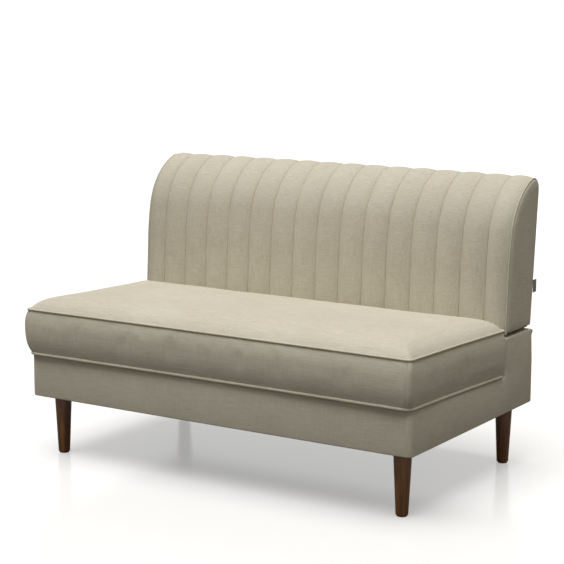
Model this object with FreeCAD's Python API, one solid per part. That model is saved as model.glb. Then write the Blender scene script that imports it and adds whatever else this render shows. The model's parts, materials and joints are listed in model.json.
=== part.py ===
import FreeCAD, Part
import math
import os

from FreeCAD import Vector

# Armless two-seat sofa, in millimetres.
# The origin is on the floor under the middle of the sofa, +Z is up, +X is the sofa's width
# (to the right for someone who looks at its front) and the front faces -Y.

# Overall sizes
sofa_width = 1200.0            # across the side covers of the base
base_depth = 705.0             # front cover to rear cover of the base
leg_height = 170.0             # floor to the underside of the base
deck_rise = 118.0              # underside to the top of the deck cover at its front edge
deck_rake = 1.7                # degrees, the deck and the cushion fall towards the back
riser_depth = 177.5            # the raised block behind the seat, front to back
riser_rise = 208.0             # underside to the top of the riser
riser_rear_lean = 8.0          # how far the riser's rear leans in at its top
riser_lean_drop = 88.0         # that lean starts this far below the riser's top

# Covers of the base: fabric over a thin fleece
cover_thickness = 6.0
corner_radius = 14.0           # upright corners of the base
front_edge_radius = 9.0        # front edge of the deck
riser_front_radius = 9.0
riser_rear_radius = 22.0
dust_cover_thickness = 1.0

# Base frame
side_board_thickness = 18.0
rail_thickness = 22.0
rail_height = 92.0
webbing_rail_height = 72.0
webbing_landing = 20.0         # rail in front of the riser that the straps end on
riser_top_thickness = 18.0
riser_front_thickness = 5.0
riser_rear_thickness = 3.0
riser_post_width = 60.0
riser_post_count = 3
riser_post_inset = 120.0       # middle of an end post to the side cover
stretcher_width = 22.0
stretcher_height = 50.0
stretcher_dip = 26.0           # how far its top lies under the webbing

# Deck: elastic webbing under a thin pad
webbing_width = 50.0
webbing_thickness = 2.0
webbing_ramp = 12.0            # length of each step over or under a crossing strap
webbing_margin = 6.0           # flat length past the edge of the strap crossed
lengthwise_count = 9
lengthwise_pitch = 125.0
crosswise_count = 3
crosswise_pitch = 125.0
deck_pad_thickness = 6.0

# Legs, and what holds them
leg_side_inset = 58.0          # leg centre to the side cover
leg_front_inset = 65.0
leg_rear_inset = 61.0
leg_top_radius = 24.0
leg_foot_radius = 16.0
glide_height = 4.0
glide_radius = 13.0
corner_block_size = 72.0
corner_block_height = 50.0
leg_bolt_radius = 4.0
leg_bolt_in_leg = 30.0
leg_bolt_above = 40.0          # bolt above the top of the leg
leg_plate_size = 56.0
leg_plate_thickness = 2.5
thread_clearance = 0.05
hole_clearance = 0.3

# Back: outline from the side, going up the front, over the top and down the rear
back_gap = 6.0                 # shadow gap between the riser and the back
back_front_setback = 1.5       # lower front edge of the back, behind the riser's front
back_low_lean = 3.0            # degrees from upright
back_low_length = 173.0
back_mid_radius = 637.0
back_mid_lean = 12.0           # degrees at the end of the gentle middle bend
back_top_radius = 180.0
back_top_lean = 72.0           # degrees where the top edge's tight bend starts
back_edge_radius = 34.0
back_rear_lean = 5.0           # degrees from upright
back_bottom_radius = 14.0
panel_chord_depth = 1.3        # most that a ruled length of the channels cuts off a bend
piping_chord_depth = 0.3

# Back: covers and channels
back_side_thickness = 8.0
channel_count = 16
end_channel_width = 61.4       # the first and the last channel are narrower
channel_rise = 7.0             # each channel above its seams
channel_panel_crown = 5.0      # the panel's middle above its ends
channel_pad = 20.0             # padding behind the seams
channel_fade_start = 80.0      # degrees of the bend where the channels start to flatten
channel_fade_end = 0.15        # share of the rise left where they end at the rear
back_piping_radius = 2.6
back_cover_thickness = 3.0
back_bottom_cover_thickness = 2.0
soft_gap = 0.3

# Back frame
rib_thickness = 18.0
centre_rib_inset = 220.0       # middle of a centre rib to the side cover
front_board_thickness = 4.0
front_board_low = 55.0         # front board behind the back's front, at the bottom
front_board_lean = 10.2        # degrees
rear_board_thickness = 3.0
back_rail_thickness = 22.0
foam_over_frame = 60.0         # foam and channels over the top of the back frame

# Lift-off fittings between the riser and the back
tongue_thickness = 5.0
tongue_width = 40.0
tongue_below = 70.0            # below the back
tongue_above = 120.0           # inside the back
tongue_rear_offset = 70.0      # tongue centre in front of the base's rear
tongue_bolt_radius = 4.0
tongue_bolt_height = 88.0      # bolt above the back's bottom
bolt_head_radius = 7.5
bolt_head_height = 5.0
socket_wall = 2.0
socket_clearance = 0.5
socket_length = 76.0
socket_flange_thickness = 2.0
socket_flange_width = 30.0
socket_flange_length = 80.0
slot_clearance = 2.0
bumper_width = 40.0
bumper_depth = 60.0
bumper_insets = (60.0, 420.0)  # middle of a pad to the side cover

# Bench cushion, drawn flat and then raked with the deck
cushion_front_overhang = 15.5  # top seam past the base front
cushion_rear_gap = 20.4        # rear panel to the riser front
cushion_thickness = 122.0      # seam to seam
cushion_bottom_inset_side = 4.0
cushion_bottom_inset_front = 10.0
cushion_bulge = 9.0            # front and side bands stand out between the seams
cushion_corner_radius = 15.0
cushion_draw_long = 1.0        # degrees that the front seam is drawn in at its ends
cushion_draw_side = 1.2
cushion_crown = 46.0
cushion_cover_thickness = 2.0
cushion_wadding_thickness = 10.0
top_piping_radius = 2.8
bottom_piping_radius = 3.5
bottom_piping_height = 4.0
deck_clearance = 0.3

# Crown of the cushion: share of its depth in from the seam, share of the rise
crown_steps = [(0.0, 0.0), (0.010, 0.24), (0.028, 0.46), (0.055, 0.65), (0.095, 0.80)]
crown_ramp = 200.0             # length over which the flat dome above those steps rises
crown_step = 0.5               # the dome starts this much above the last step

# Zip in the rear of the cushion
zip_inset = 100.0              # end of the zip to the side of the sofa
zip_tape_width = 12.0
zip_tape_thickness = 1.0
zip_chain_width = 5.0
zip_chain_thickness = 2.2
zip_stop_length = 4.0
slider_length = 14.0
slider_wall = 1.2
slider_clearance = 0.3

# The small folded tab in the rear seam of the back
tab_height = 35.0
tab_length = 23.0
tab_thickness = 1.6
tab_rise = 110.0               # bottom of the back to the middle of the tab

# Places that follow from the sizes
half_width = sofa_width / 2
deck_height = leg_height + deck_rise
riser_height = leg_height + riser_rise
riser_rear_bend = riser_height - riser_lean_drop
base_front = -base_depth / 2
base_rear = base_depth / 2
riser_front = base_rear - riser_depth
frame_bottom = leg_height + dust_cover_thickness
frame_half_width = half_width - cover_thickness
board_inner = frame_half_width - side_board_thickness
frame_front = base_front + cover_thickness
frame_rear = base_rear - cover_thickness
deck_stack = cover_thickness + deck_pad_thickness + 2 * webbing_thickness
rake_slope = math.tan(math.radians(deck_rake))
leg_x = half_width - leg_side_inset
leg_front_y = base_front + leg_front_inset
leg_rear_y = base_rear - leg_rear_inset
leg_places = [(-leg_x, leg_front_y), (leg_x, leg_front_y),
              (-leg_x, leg_rear_y), (leg_x, leg_rear_y)]
back_bottom = riser_height + back_gap
back_front = riser_front + back_front_setback
panel_half = half_width - back_side_thickness
back_frame_bottom = back_bottom + back_bottom_cover_thickness
tongue_y = base_rear - tongue_rear_offset
channel_pitch = 2 * (panel_half - end_channel_width) / (channel_count - 2)
centre_rib_x = half_width - centre_rib_inset
tongue_inner = centre_rib_x + rib_thickness / 2
tongue_outer = tongue_inner + tongue_thickness
tongue_bolt_z = back_bottom + tongue_bolt_height
riser_board_top = riser_height - cover_thickness
riser_board_bottom = riser_board_top - riser_top_thickness
cushion_front = base_front - cushion_front_overhang
cushion_rear = riser_front - cushion_rear_gap
cushion_base = deck_height + deck_clearance
seam_height = cushion_base + cushion_thickness
bead_angles = [60.0 * corner for corner in range(6)]   # corners of a piping's section


def block(x0, x1, y0, y1, z0, z1):
    """A box between two corners."""
    return Part.makeBox(x1 - x0, y1 - y0, z1 - z0, Vector(x0, y0, z0))


def prism_x(outline, x0, x1):
    """A closed (y, z) polygon or wire, extruded along X."""
    if isinstance(outline, list):
        points = [Vector(x0, y, z) for y, z in outline]
        outline = Part.makePolygon(points + points[:1])
    else:
        outline = outline.copy()
        outline.translate(Vector(x0, 0, 0))
    return Part.Face(outline).extrude(Vector(x1 - x0, 0, 0))


def mirror_x(shape):
    """The same shape on the other side of the sofa."""
    return shape.mirror(Vector(0, 0, 0), Vector(1, 0, 0))


def on_both_sides(shape):
    """A shape and its mirror image as two solids."""
    return [shape, mirror_x(shape)]


def group(shapes):
    """Separate solids that share one node."""
    return Part.makeCompound(shapes)


def cut_all(shape, tools):
    """Take each tool away from the shape."""
    for tool in tools:
        shape = shape.cut(tool)
    return shape


def spaced(count, pitch):
    """Places at an even pitch, centred on zero."""
    return [(index - (count - 1) / 2) * pitch for index in range(count)]


def rake(shape):
    """Turn a shape that was drawn on a level deck so that it lies on the raked one."""
    turned = shape.copy()
    turned.rotate(Vector(0, base_front, deck_height), Vector(1, 0, 0), -deck_rake)
    return turned


def deck_line(y, drop=0.0):
    """Height of the raked deck at y, and a drop below it."""
    return deck_height - drop - (y - base_front) * rake_slope


def rounded_wire(corners, place):
    """A closed wire through corners (a, b, radius), with a tangent arc at each corner."""
    points = [Vector(a, b, 0) for a, b, radius in corners]
    starts = []
    ends = []
    middles = []
    for index, corner in enumerate(points):
        before = (points[index - 1] - corner).normalize()
        after = (points[(index + 1) % len(points)] - corner).normalize()
        radius = corners[index][2]
        half_angle = before.getAngle(after) / 2
        tangent = radius / math.tan(half_angle)
        bisector = (before + after).normalize()
        starts.append(corner + before * tangent)
        ends.append(corner + after * tangent)
        middles.append(corner + bisector * (radius / math.sin(half_angle) - radius))
    edges = []
    for index in range(len(points)):
        if corners[index][2] > 0:
            arc = Part.Arc(place(starts[index]), place(middles[index]), place(ends[index]))
            edges.append(arc.toShape())
        following = (index + 1) % len(points)
        edges.append(Part.makeLine(place(ends[index]), place(starts[following])))
    return Part.Wire(edges)


def in_side_view(point):
    """A (y, z) point in the plane x = 0."""
    return Vector(0, point.x, point.y)


def in_plan(point):
    """An (x, y) point on the floor."""
    return Vector(point.x, point.y, 0)


def hexagon(radius, height):
    """Hexagonal plate standing on the origin, its corners on a circle."""
    points = []
    for corner in range(7):
        angle = math.radians(60 * corner)
        points.append(Vector(radius * math.cos(angle), radius * math.sin(angle), 0))
    return Part.Face(Part.makePolygon(points)).extrude(Vector(0, 0, height))


# Base: the outline from the side, and the plan with its rounded corners

def base_profile(inset, deck_drop, bottom):
    """Side outline of the base: low deck in front, riser behind."""
    front = base_front + inset
    step = riser_front + inset
    rear = base_rear - inset
    top = riser_height - inset
    corners = [
        (front, bottom, 0.0),
        (front, deck_line(front, deck_drop), max(front_edge_radius - inset, 0.0)),
        (step, deck_line(step, deck_drop), 0.0),
        (step, top, max(riser_front_radius - inset, 0.0)),
        (rear - riser_rear_lean, top, max(riser_rear_radius - inset, 0.0)),
        (rear, riser_rear_bend, 0.0),
        (rear, bottom, 0.0),
    ]
    return rounded_wire(corners, in_side_view)


def base_plan(inset, z0, z1):
    """Upright prism of the base's plan."""
    side = half_width - inset
    front = base_front + inset
    rear = base_rear - inset
    radius = corner_radius - inset
    corners = [(-side, front), (side, front), (side, rear), (-side, rear)]
    wire = rounded_wire([(x, y, radius) for x, y in corners], in_plan)
    wire.translate(Vector(0, 0, z0))
    return Part.Face(wire).extrude(Vector(0, 0, z1 - z0))


def base_block(inset, deck_drop, bottom):
    """The base as one solid, at an inset from its outer faces."""
    side = half_width - inset
    body = prism_x(base_profile(inset, deck_drop, bottom), -side, side)
    return body.common(base_plan(inset, bottom, riser_height))


def tongue_slot(clearance, z0, z1):
    """Space round one tongue, on the right."""
    return block(
        tongue_inner - clearance, tongue_outer + clearance,
        tongue_y - tongue_width / 2 - clearance, tongue_y + tongue_width / 2 + clearance, z0, z1)


def make_base_covers():
    """Front, deck, riser, rear and two side covers, sewn together at their edges."""
    outer = base_block(0.0, 0.0, leg_height)
    inner = base_block(cover_thickness, cover_thickness, leg_height - 1.0)
    skin = outer.cut(inner)
    seam_x = half_width - corner_radius
    low = leg_height - 1.0
    high = riser_height + 1.0
    front_seam = frame_front
    rear_seam = frame_rear - riser_rear_lean
    far = base_depth
    slot = tongue_slot(slot_clearance, riser_board_top - 1.0, high)
    covers = {
        "base_left_cover": skin.common(block(-half_width - 1, -seam_x, -far, far, low, high)),
        "base_right_cover": skin.common(block(seam_x, half_width + 1, -far, far, low, high)),
        "base_front_cover": skin.common(block(-seam_x, seam_x, -far, front_seam, low, high)),
        "deck_cover": skin.common(block(-seam_x, seam_x, front_seam, riser_front, low, high)),
        "base_rear_cover": skin.common(
            block(-seam_x, seam_x, frame_rear - riser_rear_lean, far, low, riser_rear_bend)),
    }
    riser = skin.common(block(-seam_x, seam_x, riser_front, rear_seam, low, high))
    upper_rear = skin.common(block(-seam_x, seam_x, rear_seam, far, riser_rear_bend, high))
    riser = riser.fuse(upper_rear).removeSplitter()
    covers["riser_cover"] = cut_all(riser, on_both_sides(slot))
    return covers


# Base frame

def make_side_board():
    """Right plywood board, cut to the L shape of the base."""
    outline = base_profile(cover_thickness, deck_stack, frame_bottom)
    board = prism_x(outline, board_inner, frame_half_width)
    return board.common(base_plan(cover_thickness, frame_bottom, riser_height))


def rail_between_boards(y0, y1, bottom, height_at):
    """A rail along X between the side boards, its top cut to the rake."""
    outline = [(y0, bottom), (y1, bottom), (y1, height_at(y1)), (y0, height_at(y0))]
    return prism_x(outline, -board_inner, board_inner)


def frame_deck(y):
    """Top of the rails that the webbing lies on."""
    return deck_line(y, deck_stack)


def make_frame_rails():
    """Front, rear and webbing rails, and the stretcher in the middle."""
    front_inner = frame_front + rail_thickness
    web_front = riser_front + cover_thickness - webbing_landing
    web_rear = web_front + webbing_landing + rail_thickness
    web_bottom = frame_deck(web_front) - webbing_rail_height
    rear_inner = frame_rear - riser_rear_thickness - rail_thickness
    rear_top = frame_bottom + rail_height
    rear_outline = [
        (rear_inner, frame_bottom), (rear_inner + rail_thickness, frame_bottom),
        (rear_inner + rail_thickness, rear_top), (rear_inner, rear_top)]
    half = stretcher_width / 2
    dip_front = frame_deck(front_inner) - stretcher_dip
    dip_rear = frame_deck(web_front) - stretcher_dip
    stretcher = [
        (front_inner, dip_front - stretcher_height), (web_front, dip_rear - stretcher_height),
        (web_front, dip_rear), (front_inner, dip_front)]
    return {
        "front_rail": rail_between_boards(frame_front, front_inner, frame_bottom, frame_deck),
        "webbing_rail": rail_between_boards(web_front, web_rear, web_bottom, frame_deck),
        "rear_rail": prism_x(rear_outline, -board_inner, board_inner),
        "centre_stretcher": prism_x(stretcher, -half, half),
    }


def make_riser_frame():
    """Posts, top board, front board and rear board of the riser."""
    web_front = riser_front + cover_thickness
    front_board_rear = web_front + riser_front_thickness
    web_rear = web_front + rail_thickness
    rear_inner = frame_rear - riser_rear_thickness - rail_thickness
    lean_in = riser_rear_lean
    top_rear = frame_rear - lean_in - riser_rear_thickness
    posts = []
    for x in spaced(riser_post_count, 2 * (half_width - riser_post_inset) / (riser_post_count - 1)):
        x0 = x - riser_post_width / 2
        x1 = x + riser_post_width / 2
        rear_foot = frame_bottom + rail_height
        front_foot = frame_deck(web_rear)
        posts.append(block(x0, x1, rear_inner, top_rear, rear_foot, riser_board_bottom))
        front_post = prism_x(
            [(front_board_rear, frame_deck(front_board_rear)), (web_rear, front_foot),
             (web_rear, riser_board_bottom), (front_board_rear, riser_board_bottom)], x0, x1)
        posts.append(front_post)
    top = block(-board_inner, board_inner, front_board_rear, top_rear,
                riser_board_bottom, riser_board_top)
    socket_hole = tongue_slot(socket_clearance + socket_wall + hole_clearance,
                              riser_board_bottom - 1, riser_board_top + 1)
    recess = socket_flange(riser_board_top - socket_flange_thickness, riser_board_top + 1,
                           hole_clearance)
    top = cut_all(top, on_both_sides(socket_hole) + on_both_sides(recess))
    front = prism_x(
        [(web_front, frame_deck(web_front)), (front_board_rear, frame_deck(front_board_rear)),
         (front_board_rear, riser_board_top), (web_front, riser_board_top)],
        -board_inner, board_inner)
    front = front.common(base_block(cover_thickness, cover_thickness, frame_bottom))
    thickness = riser_rear_thickness
    rear = prism_x(
        [(frame_rear - thickness, frame_bottom), (frame_rear, frame_bottom),
         (frame_rear, riser_rear_bend), (frame_rear - lean_in, riser_board_top),
         (top_rear, riser_board_top), (frame_rear - thickness, riser_rear_bend)],
        -board_inner, board_inner)
    rear = rear.common(base_block(cover_thickness, cover_thickness, frame_bottom))
    return {
        "riser_posts": group(posts),
        "riser_top_board": top.common(base_block(cover_thickness, cover_thickness, frame_bottom)),
        "riser_front_board": front,
        "riser_rear_board": rear,
    }


def make_dust_cover():
    """Thin sheet under the base, with a hole for each leg bolt."""
    sheet = base_plan(cover_thickness, leg_height, frame_bottom)
    holes = []
    for x, y in leg_places:
        hole = Part.makeCylinder(leg_bolt_radius + hole_clearance, dust_cover_thickness + 2,
                                 Vector(x, y, leg_height - 1))
        holes.append(hole)
    return cut_all(sheet, holes)


# Deck: woven webbing and pad, drawn level and then raked

def woven_strap(stations, start, end, over):
    """Side outline of one strap as (along, height) points; it steps up where it goes over."""
    low = deck_height - deck_stack
    reach = webbing_width / 2 + webbing_margin
    lower_line = [(start, low)]
    for station, is_over in zip(stations, over):
        if is_over:
            lower_line += [
                (station - reach - webbing_ramp, low), (station - reach, low + webbing_thickness),
                (station + reach, low + webbing_thickness), (station + reach + webbing_ramp, low)]
    lower_line.append((end, low))
    upper_line = [(a, z + webbing_thickness) for a, z in reversed(lower_line)]
    return lower_line + upper_line


def make_webbing():
    """Straps front to back, and straps side to side woven through them."""
    strap_x = spaced(lengthwise_count, lengthwise_pitch)
    middle = (frame_front + riser_front + cover_thickness + rail_thickness) / 2
    strap_y = [middle + place for place in spaced(crosswise_count, crosswise_pitch)]
    half = webbing_width / 2
    front_end = frame_front + webbing_thickness
    rear_end = riser_front + cover_thickness - webbing_thickness
    lengthwise = []
    for index, x in enumerate(strap_x):
        over = [(index + row) % 2 == 0 for row in range(crosswise_count)]
        outline = woven_strap(strap_y, front_end, rear_end, over)
        lengthwise.append(rake(prism_x(outline, x - half, x + half)))
    crosswise = []
    side_end = frame_half_width - webbing_thickness
    for row, y in enumerate(strap_y):
        over = [(index + row) % 2 == 1 for index in range(lengthwise_count)]
        outline = woven_strap(strap_x, -side_end, side_end, over)
        points = [Vector(a, y - half, z) for a, z in outline]
        face = Part.Face(Part.makePolygon(points + points[:1]))
        crosswise.append(rake(face.extrude(Vector(0, webbing_width, 0))))
    return group(lengthwise), group(crosswise)


def make_deck_pad():
    """Thin pad between the webbing and the deck cover."""
    top = deck_height - cover_thickness
    pad = block(-board_inner, board_inner, frame_front, riser_front,
                top - deck_pad_thickness, top)
    return rake(pad).common(base_block(cover_thickness, cover_thickness, frame_bottom))


# Legs and their fixings

def make_leg(x, y):
    """Round tapered leg with a bolt hole in its top."""
    leg = Part.makeCone(leg_foot_radius, leg_top_radius, leg_height - glide_height,
                        Vector(0, 0, glide_height))
    bolt_hole = Part.makeCylinder(leg_bolt_radius + thread_clearance, leg_bolt_in_leg,
                                  Vector(0, 0, leg_height - leg_bolt_in_leg))
    leg = leg.cut(bolt_hole)
    leg.translate(Vector(x, y, 0))
    return leg


def make_glide(x, y):
    """Glide under a leg: a plain disc."""
    return Part.makeCylinder(glide_radius, glide_height, Vector(x, y, 0))


def make_corner_block(x, y):
    """Hardwood block in a corner of the frame, on its leg plate and against the side board."""
    side = 1 if x > 0 else -1
    inner = side * (board_inner - corner_block_size)
    outer = side * board_inner
    if y < 0:
        y0 = frame_front + rail_thickness
    else:
        y0 = frame_rear - riser_rear_thickness - rail_thickness - corner_block_size
    bottom = frame_bottom + leg_plate_thickness
    wood = block(min(inner, outer), max(inner, outer), y0, y0 + corner_block_size,
                 bottom, bottom + corner_block_height)
    hole = Part.makeCylinder(leg_bolt_radius + hole_clearance, corner_block_height,
                             Vector(x, y, bottom))
    return wood.cut(hole)


def make_leg_plate(x, y):
    """Steel plate under a corner block, with the threaded hole for the leg's bolt."""
    half = leg_plate_size / 2
    top = frame_bottom + leg_plate_thickness
    plate = block(x - half, x + half, y - half, y + half, frame_bottom, top)
    hole = Part.makeCylinder(leg_bolt_radius + thread_clearance, leg_plate_thickness,
                             Vector(x, y, frame_bottom))
    return plate.cut(hole)


def make_leg_bolt(x, y):
    """Hanger bolt: one end in the leg, the other through the leg plate into the block."""
    length = leg_bolt_in_leg + leg_bolt_above
    return Part.makeCylinder(leg_bolt_radius, length, Vector(x, y, leg_height - leg_bolt_in_leg))


# Back: outline from the side

def back_path(inset, low, with_rear):
    """Edges of the back's outline from its front bottom edge, and the point reached.

    Headings are measured from upright towards the rear, and every bend turns the same way,
    so an inset takes the same amount off each radius.
    """
    lean = math.radians(back_low_lean)
    inward = Vector(0, math.cos(lean), -math.sin(lean)) * inset
    forward = Vector(0, math.sin(lean), math.cos(lean))
    corner = Vector(0, back_front, back_bottom) + inward
    cut_length = (low - corner.z) / forward.z
    point = corner + forward * cut_length
    end = corner + forward * back_low_length
    edges = [Part.makeLine(point, end)]
    point = end
    bends = [
        (back_mid_radius, back_low_lean, back_mid_lean),
        (back_top_radius, back_mid_lean, back_top_lean),
        (back_edge_radius, back_top_lean, 180.0 + back_rear_lean),
    ]
    for radius, first, last in bends:
        edge, point = turn(point, radius - inset, first, last)
        edges.append(edge)
    if with_rear:
        heading = math.radians(180.0 + back_rear_lean)
        down = Vector(0, math.sin(heading), math.cos(heading))
        corner_drop = (back_bottom_radius - inset) * (1 - math.sin(math.radians(back_rear_lean)))
        length = (low + max(corner_drop, 0.0) - point.z) / down.z
        end = point + down * length
        edges.append(Part.makeLine(point, end))
        point = end
    return edges, point


def turn(start, radius, first, last):
    """An arc from a start point, between two headings in degrees, and its end."""
    middle = along_bend(start, radius, first, (first + last) / 2)
    end = along_bend(start, radius, first, last)
    return Part.Arc(start, middle, end).toShape(), end


def along_bend(start, radius, first, heading):
    """Point of a bend where it has turned to a heading."""
    a = math.radians(first)
    b = math.radians(heading)
    return start + Vector(0, math.cos(a) - math.cos(b), math.sin(b) - math.sin(a)) * radius


def back_crest():
    """Height of the outline's highest point, where its heading is level to the rear."""
    edges = back_path(0.0, back_bottom, False)[0]
    start = edges[-1].valueAt(edges[-1].FirstParameter)
    return along_bend(start, back_edge_radius, back_top_lean, 90.0).z


def frame_top():
    """Height of the back frame's top."""
    return back_crest() - foam_over_frame


def back_stations(inset, low, with_rear, chord_depth):
    """Places and headings along the back's outline, for lengths that are ruled between them."""
    edges = back_path(inset, low, with_rear)[0]
    headings = [back_low_lean, back_mid_lean, back_top_lean, 180.0 + back_rear_lean]
    radii = [back_mid_radius, back_top_radius, back_edge_radius]
    first = edges[0]
    stations = [(first.valueAt(first.FirstParameter), back_low_lean)]
    point = first.valueAt(first.LastParameter)
    stations.append((point, back_low_lean))
    for radius, start, end in zip(radii, headings, headings[1:]):
        widest = 2 * math.degrees(math.acos(1 - chord_depth / radius))
        steps = math.ceil((end - start) / widest)
        for step in range(1, steps + 1):
            heading = start + (end - start) * step / steps
            stations.append((along_bend(point, radius - inset, start, heading), heading))
        point = stations[-1][0]
    if with_rear:
        last = edges[-1]
        stations.append((last.valueAt(last.LastParameter), 180.0 + back_rear_lean))
    return stations


def outward_at(heading):
    """Direction that points out of the back where its outline has a heading."""
    angle = math.radians(heading)
    return Vector(0, -math.cos(angle), math.sin(angle))


def back_outline(inset, low):
    """Closed side outline of the back."""
    edges, point = back_path(inset, low, True)
    radius = back_bottom_radius - inset
    if radius > 0:
        corner, point = turn(point, radius, 180.0 + back_rear_lean, 270.0)
        edges.append(corner)
    start = edges[0].Vertexes[0].Point
    edges.append(Part.makeLine(point, start))
    return Part.Wire(edges)


def rear_face(z, inset):
    """Where the back's rear face, or a face inside it, stands at height z."""
    point = back_path(0.0, back_bottom, False)[1]
    lean = math.radians(back_rear_lean)
    return point.y - (point.z - z) * math.tan(lean) - inset / math.cos(lean)


def front_board_face(z, inset):
    """Where the front board, or a face behind it, stands at height z."""
    lean = math.radians(front_board_lean)
    return (back_front + front_board_low + (z - back_frame_bottom) * math.tan(lean)
            + inset / math.cos(lean))


# Back: covers

def seam_places():
    """Places of the ends and seams of the channelled panel along X."""
    seams = spaced(channel_count - 1, channel_pitch)
    return [-panel_half] + seams + [panel_half]


def panel_level(x):
    """How far the panel's seams stand out at x: the middle is crowned."""
    return channel_panel_crown * (1 - (x / panel_half) ** 2)


def channel_fade(heading):
    """Share of the channels' rise at a heading: they flatten towards the rear."""
    last = 180.0 + back_rear_lean
    turned = max(0.0, heading - channel_fade_start) / (last - channel_fade_start)
    return 1.0 - (1.0 - channel_fade_end) * turned


def channel_section(point, heading):
    """Closed section across the channelled panel at one station of the back's outline."""
    outward = outward_at(heading)
    share = channel_fade(heading)

    def place(x, level):
        return Vector(x, 0, 0) + point + outward * level

    edges = []
    places = seam_places()
    for left, right in zip(places, places[1:]):
        left_level = panel_level(left) * share
        right_level = panel_level(right) * share
        crest = (left_level + right_level) / 2 + channel_rise * share
        arc = Part.Arc(place(left, left_level), place((left + right) / 2, crest),
                       place(right, right_level))
        edges.append(arc.toShape())
    corners = [place(panel_half, 0), place(panel_half, -channel_pad),
               place(-panel_half, -channel_pad), place(-panel_half, 0)]
    edges += [Part.makeLine(first, last) for first, last in zip(corners, corners[1:])]
    return Part.Wire(edges)


def make_channel_panel():
    """Sixteen sewn channels in one panel, up the front and over the top of the back."""
    drop = 2.0
    stations = back_stations(0.0, back_bottom - drop, False, panel_chord_depth)
    sections = [channel_section(point, heading) for point, heading in stations]
    panel = Part.makeLoft(sections, True, True)
    below = block(-half_width, half_width, base_front, base_rear, 0, back_bottom)
    return panel.cut(below)


def make_back_piping():
    """Right piping bead: up the front edge, over the top and down the rear edge."""
    radius = back_piping_radius
    across = Vector(1, 0, 0)
    middle = across * (panel_half + radius + soft_gap / 2)
    sections = []
    stations = back_stations(radius, back_bottom + radius, True, piping_chord_depth)
    for point, heading in stations:
        outward = outward_at(heading)
        corners = []
        for angle in bead_angles:
            turned = math.radians(angle)
            corners.append(point + middle + across * (radius * math.cos(turned))
                           + outward * (radius * math.sin(turned)))
        sections.append(Part.makePolygon(corners + corners[:1]))
    return Part.makeLoft(sections, True, True)


def make_back_side_panel():
    """Right side panel, set back from the edge by the piping."""
    inset = 2 * back_piping_radius + soft_gap / 2
    return prism_x(back_outline(inset, back_bottom), panel_half, half_width)


def make_back_rear_cover():
    """Plain fabric over the rear of the back, up to the end of the channels."""
    top = back_path(0.0, back_bottom, False)[1]
    heading = math.radians(back_rear_lean)
    inward = Vector(0, -math.cos(heading), math.sin(heading)) * back_cover_thickness
    low = back_bottom + back_bottom_radius
    outline = [
        (rear_face(low, 0.0), low), (top.y, top.z), (top.y + inward.y, top.z + inward.z),
        (rear_face(low, back_cover_thickness), low)]
    cover = prism_x(outline, -panel_half, panel_half)
    corner = prism_x(back_outline(0.0, back_bottom), -panel_half, panel_half).cut(
        prism_x(back_outline(back_cover_thickness, back_frame_bottom), -panel_half, panel_half))
    corner = corner.common(
        block(-half_width, half_width, rear_face(back_bottom, 3 * back_bottom_radius / 2),
              base_rear, back_frame_bottom, low))
    return cover.fuse(corner).removeSplitter()


def make_back_bottom_cover():
    """Thin cloth under the back, with a slot for each tongue."""
    outline = prism_x(back_outline(0.0, back_bottom), -panel_half, panel_half)
    front = back_front + channel_pad + soft_gap
    sheet = outline.common(
        block(-panel_half, panel_half, front, base_rear, back_bottom, back_frame_bottom))
    slot = tongue_slot(slot_clearance, back_bottom - 1, back_frame_bottom + 1)
    return cut_all(sheet, on_both_sides(slot))


def make_seam_tab():
    """Small blank tab sewn into the rear right seam of the back."""
    z0 = back_bottom + tab_rise - tab_height / 2
    inset = 2 * back_piping_radius
    y0 = rear_face(z0 + tab_height, inset) + soft_gap
    x1 = half_width - soft_gap
    tab = block(x1 - tab_thickness, x1, y0, y0 + tab_length, z0, z0 + tab_height)
    outer_edges = [edge for edge in tab.Edges if edge.BoundBox.YMin > y0 + tab_length / 2
                   and edge.BoundBox.ZLength > tab_height / 2]
    return tab.makeFillet(tab_thickness * 0.45, outer_edges)


# Back: filling and frame

def frame_zone(inset):
    """Side outline of everything behind the face of the front board."""
    z0 = back_frame_bottom - 1.0
    z1 = frame_top() + inset
    far = base_rear + back_top_radius
    return [(front_board_face(z0, -inset), z0), (far, z0), (far, z1),
            (front_board_face(z1, -inset), z1)]


def make_back_foam():
    """Shaped foam between the front board and the channelled panel."""
    inset = channel_pad + soft_gap
    stations = back_stations(inset, back_frame_bottom, True, panel_chord_depth)
    core = prism_x([(point.y, point.z) for point, heading in stations], -panel_half, panel_half)
    return core.cut(prism_x(frame_zone(soft_gap), -half_width, half_width))


def rib_outline():
    """Side outline of a plywood rib."""
    z0 = back_frame_bottom
    z1 = frame_top()
    rear_inset = back_cover_thickness + rear_board_thickness
    low_rear = back_bottom + back_bottom_radius
    return [
        (front_board_face(z0, front_board_thickness), z0),
        (rear_face(z0, rear_inset + back_bottom_radius / 2), z0),
        (rear_face(low_rear, rear_inset), low_rear),
        (rear_face(z1, rear_inset), z1),
        (front_board_face(z1, front_board_thickness), z1),
    ]


def cross_bolt_hole(radius):
    """Hole along X through a right centre rib and its tongue."""
    start = centre_rib_x - 2 * rib_thickness
    return Part.makeCylinder(radius, 4 * rib_thickness, Vector(start, tongue_y, tongue_bolt_z),
                             Vector(1, 0, 0))


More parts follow.
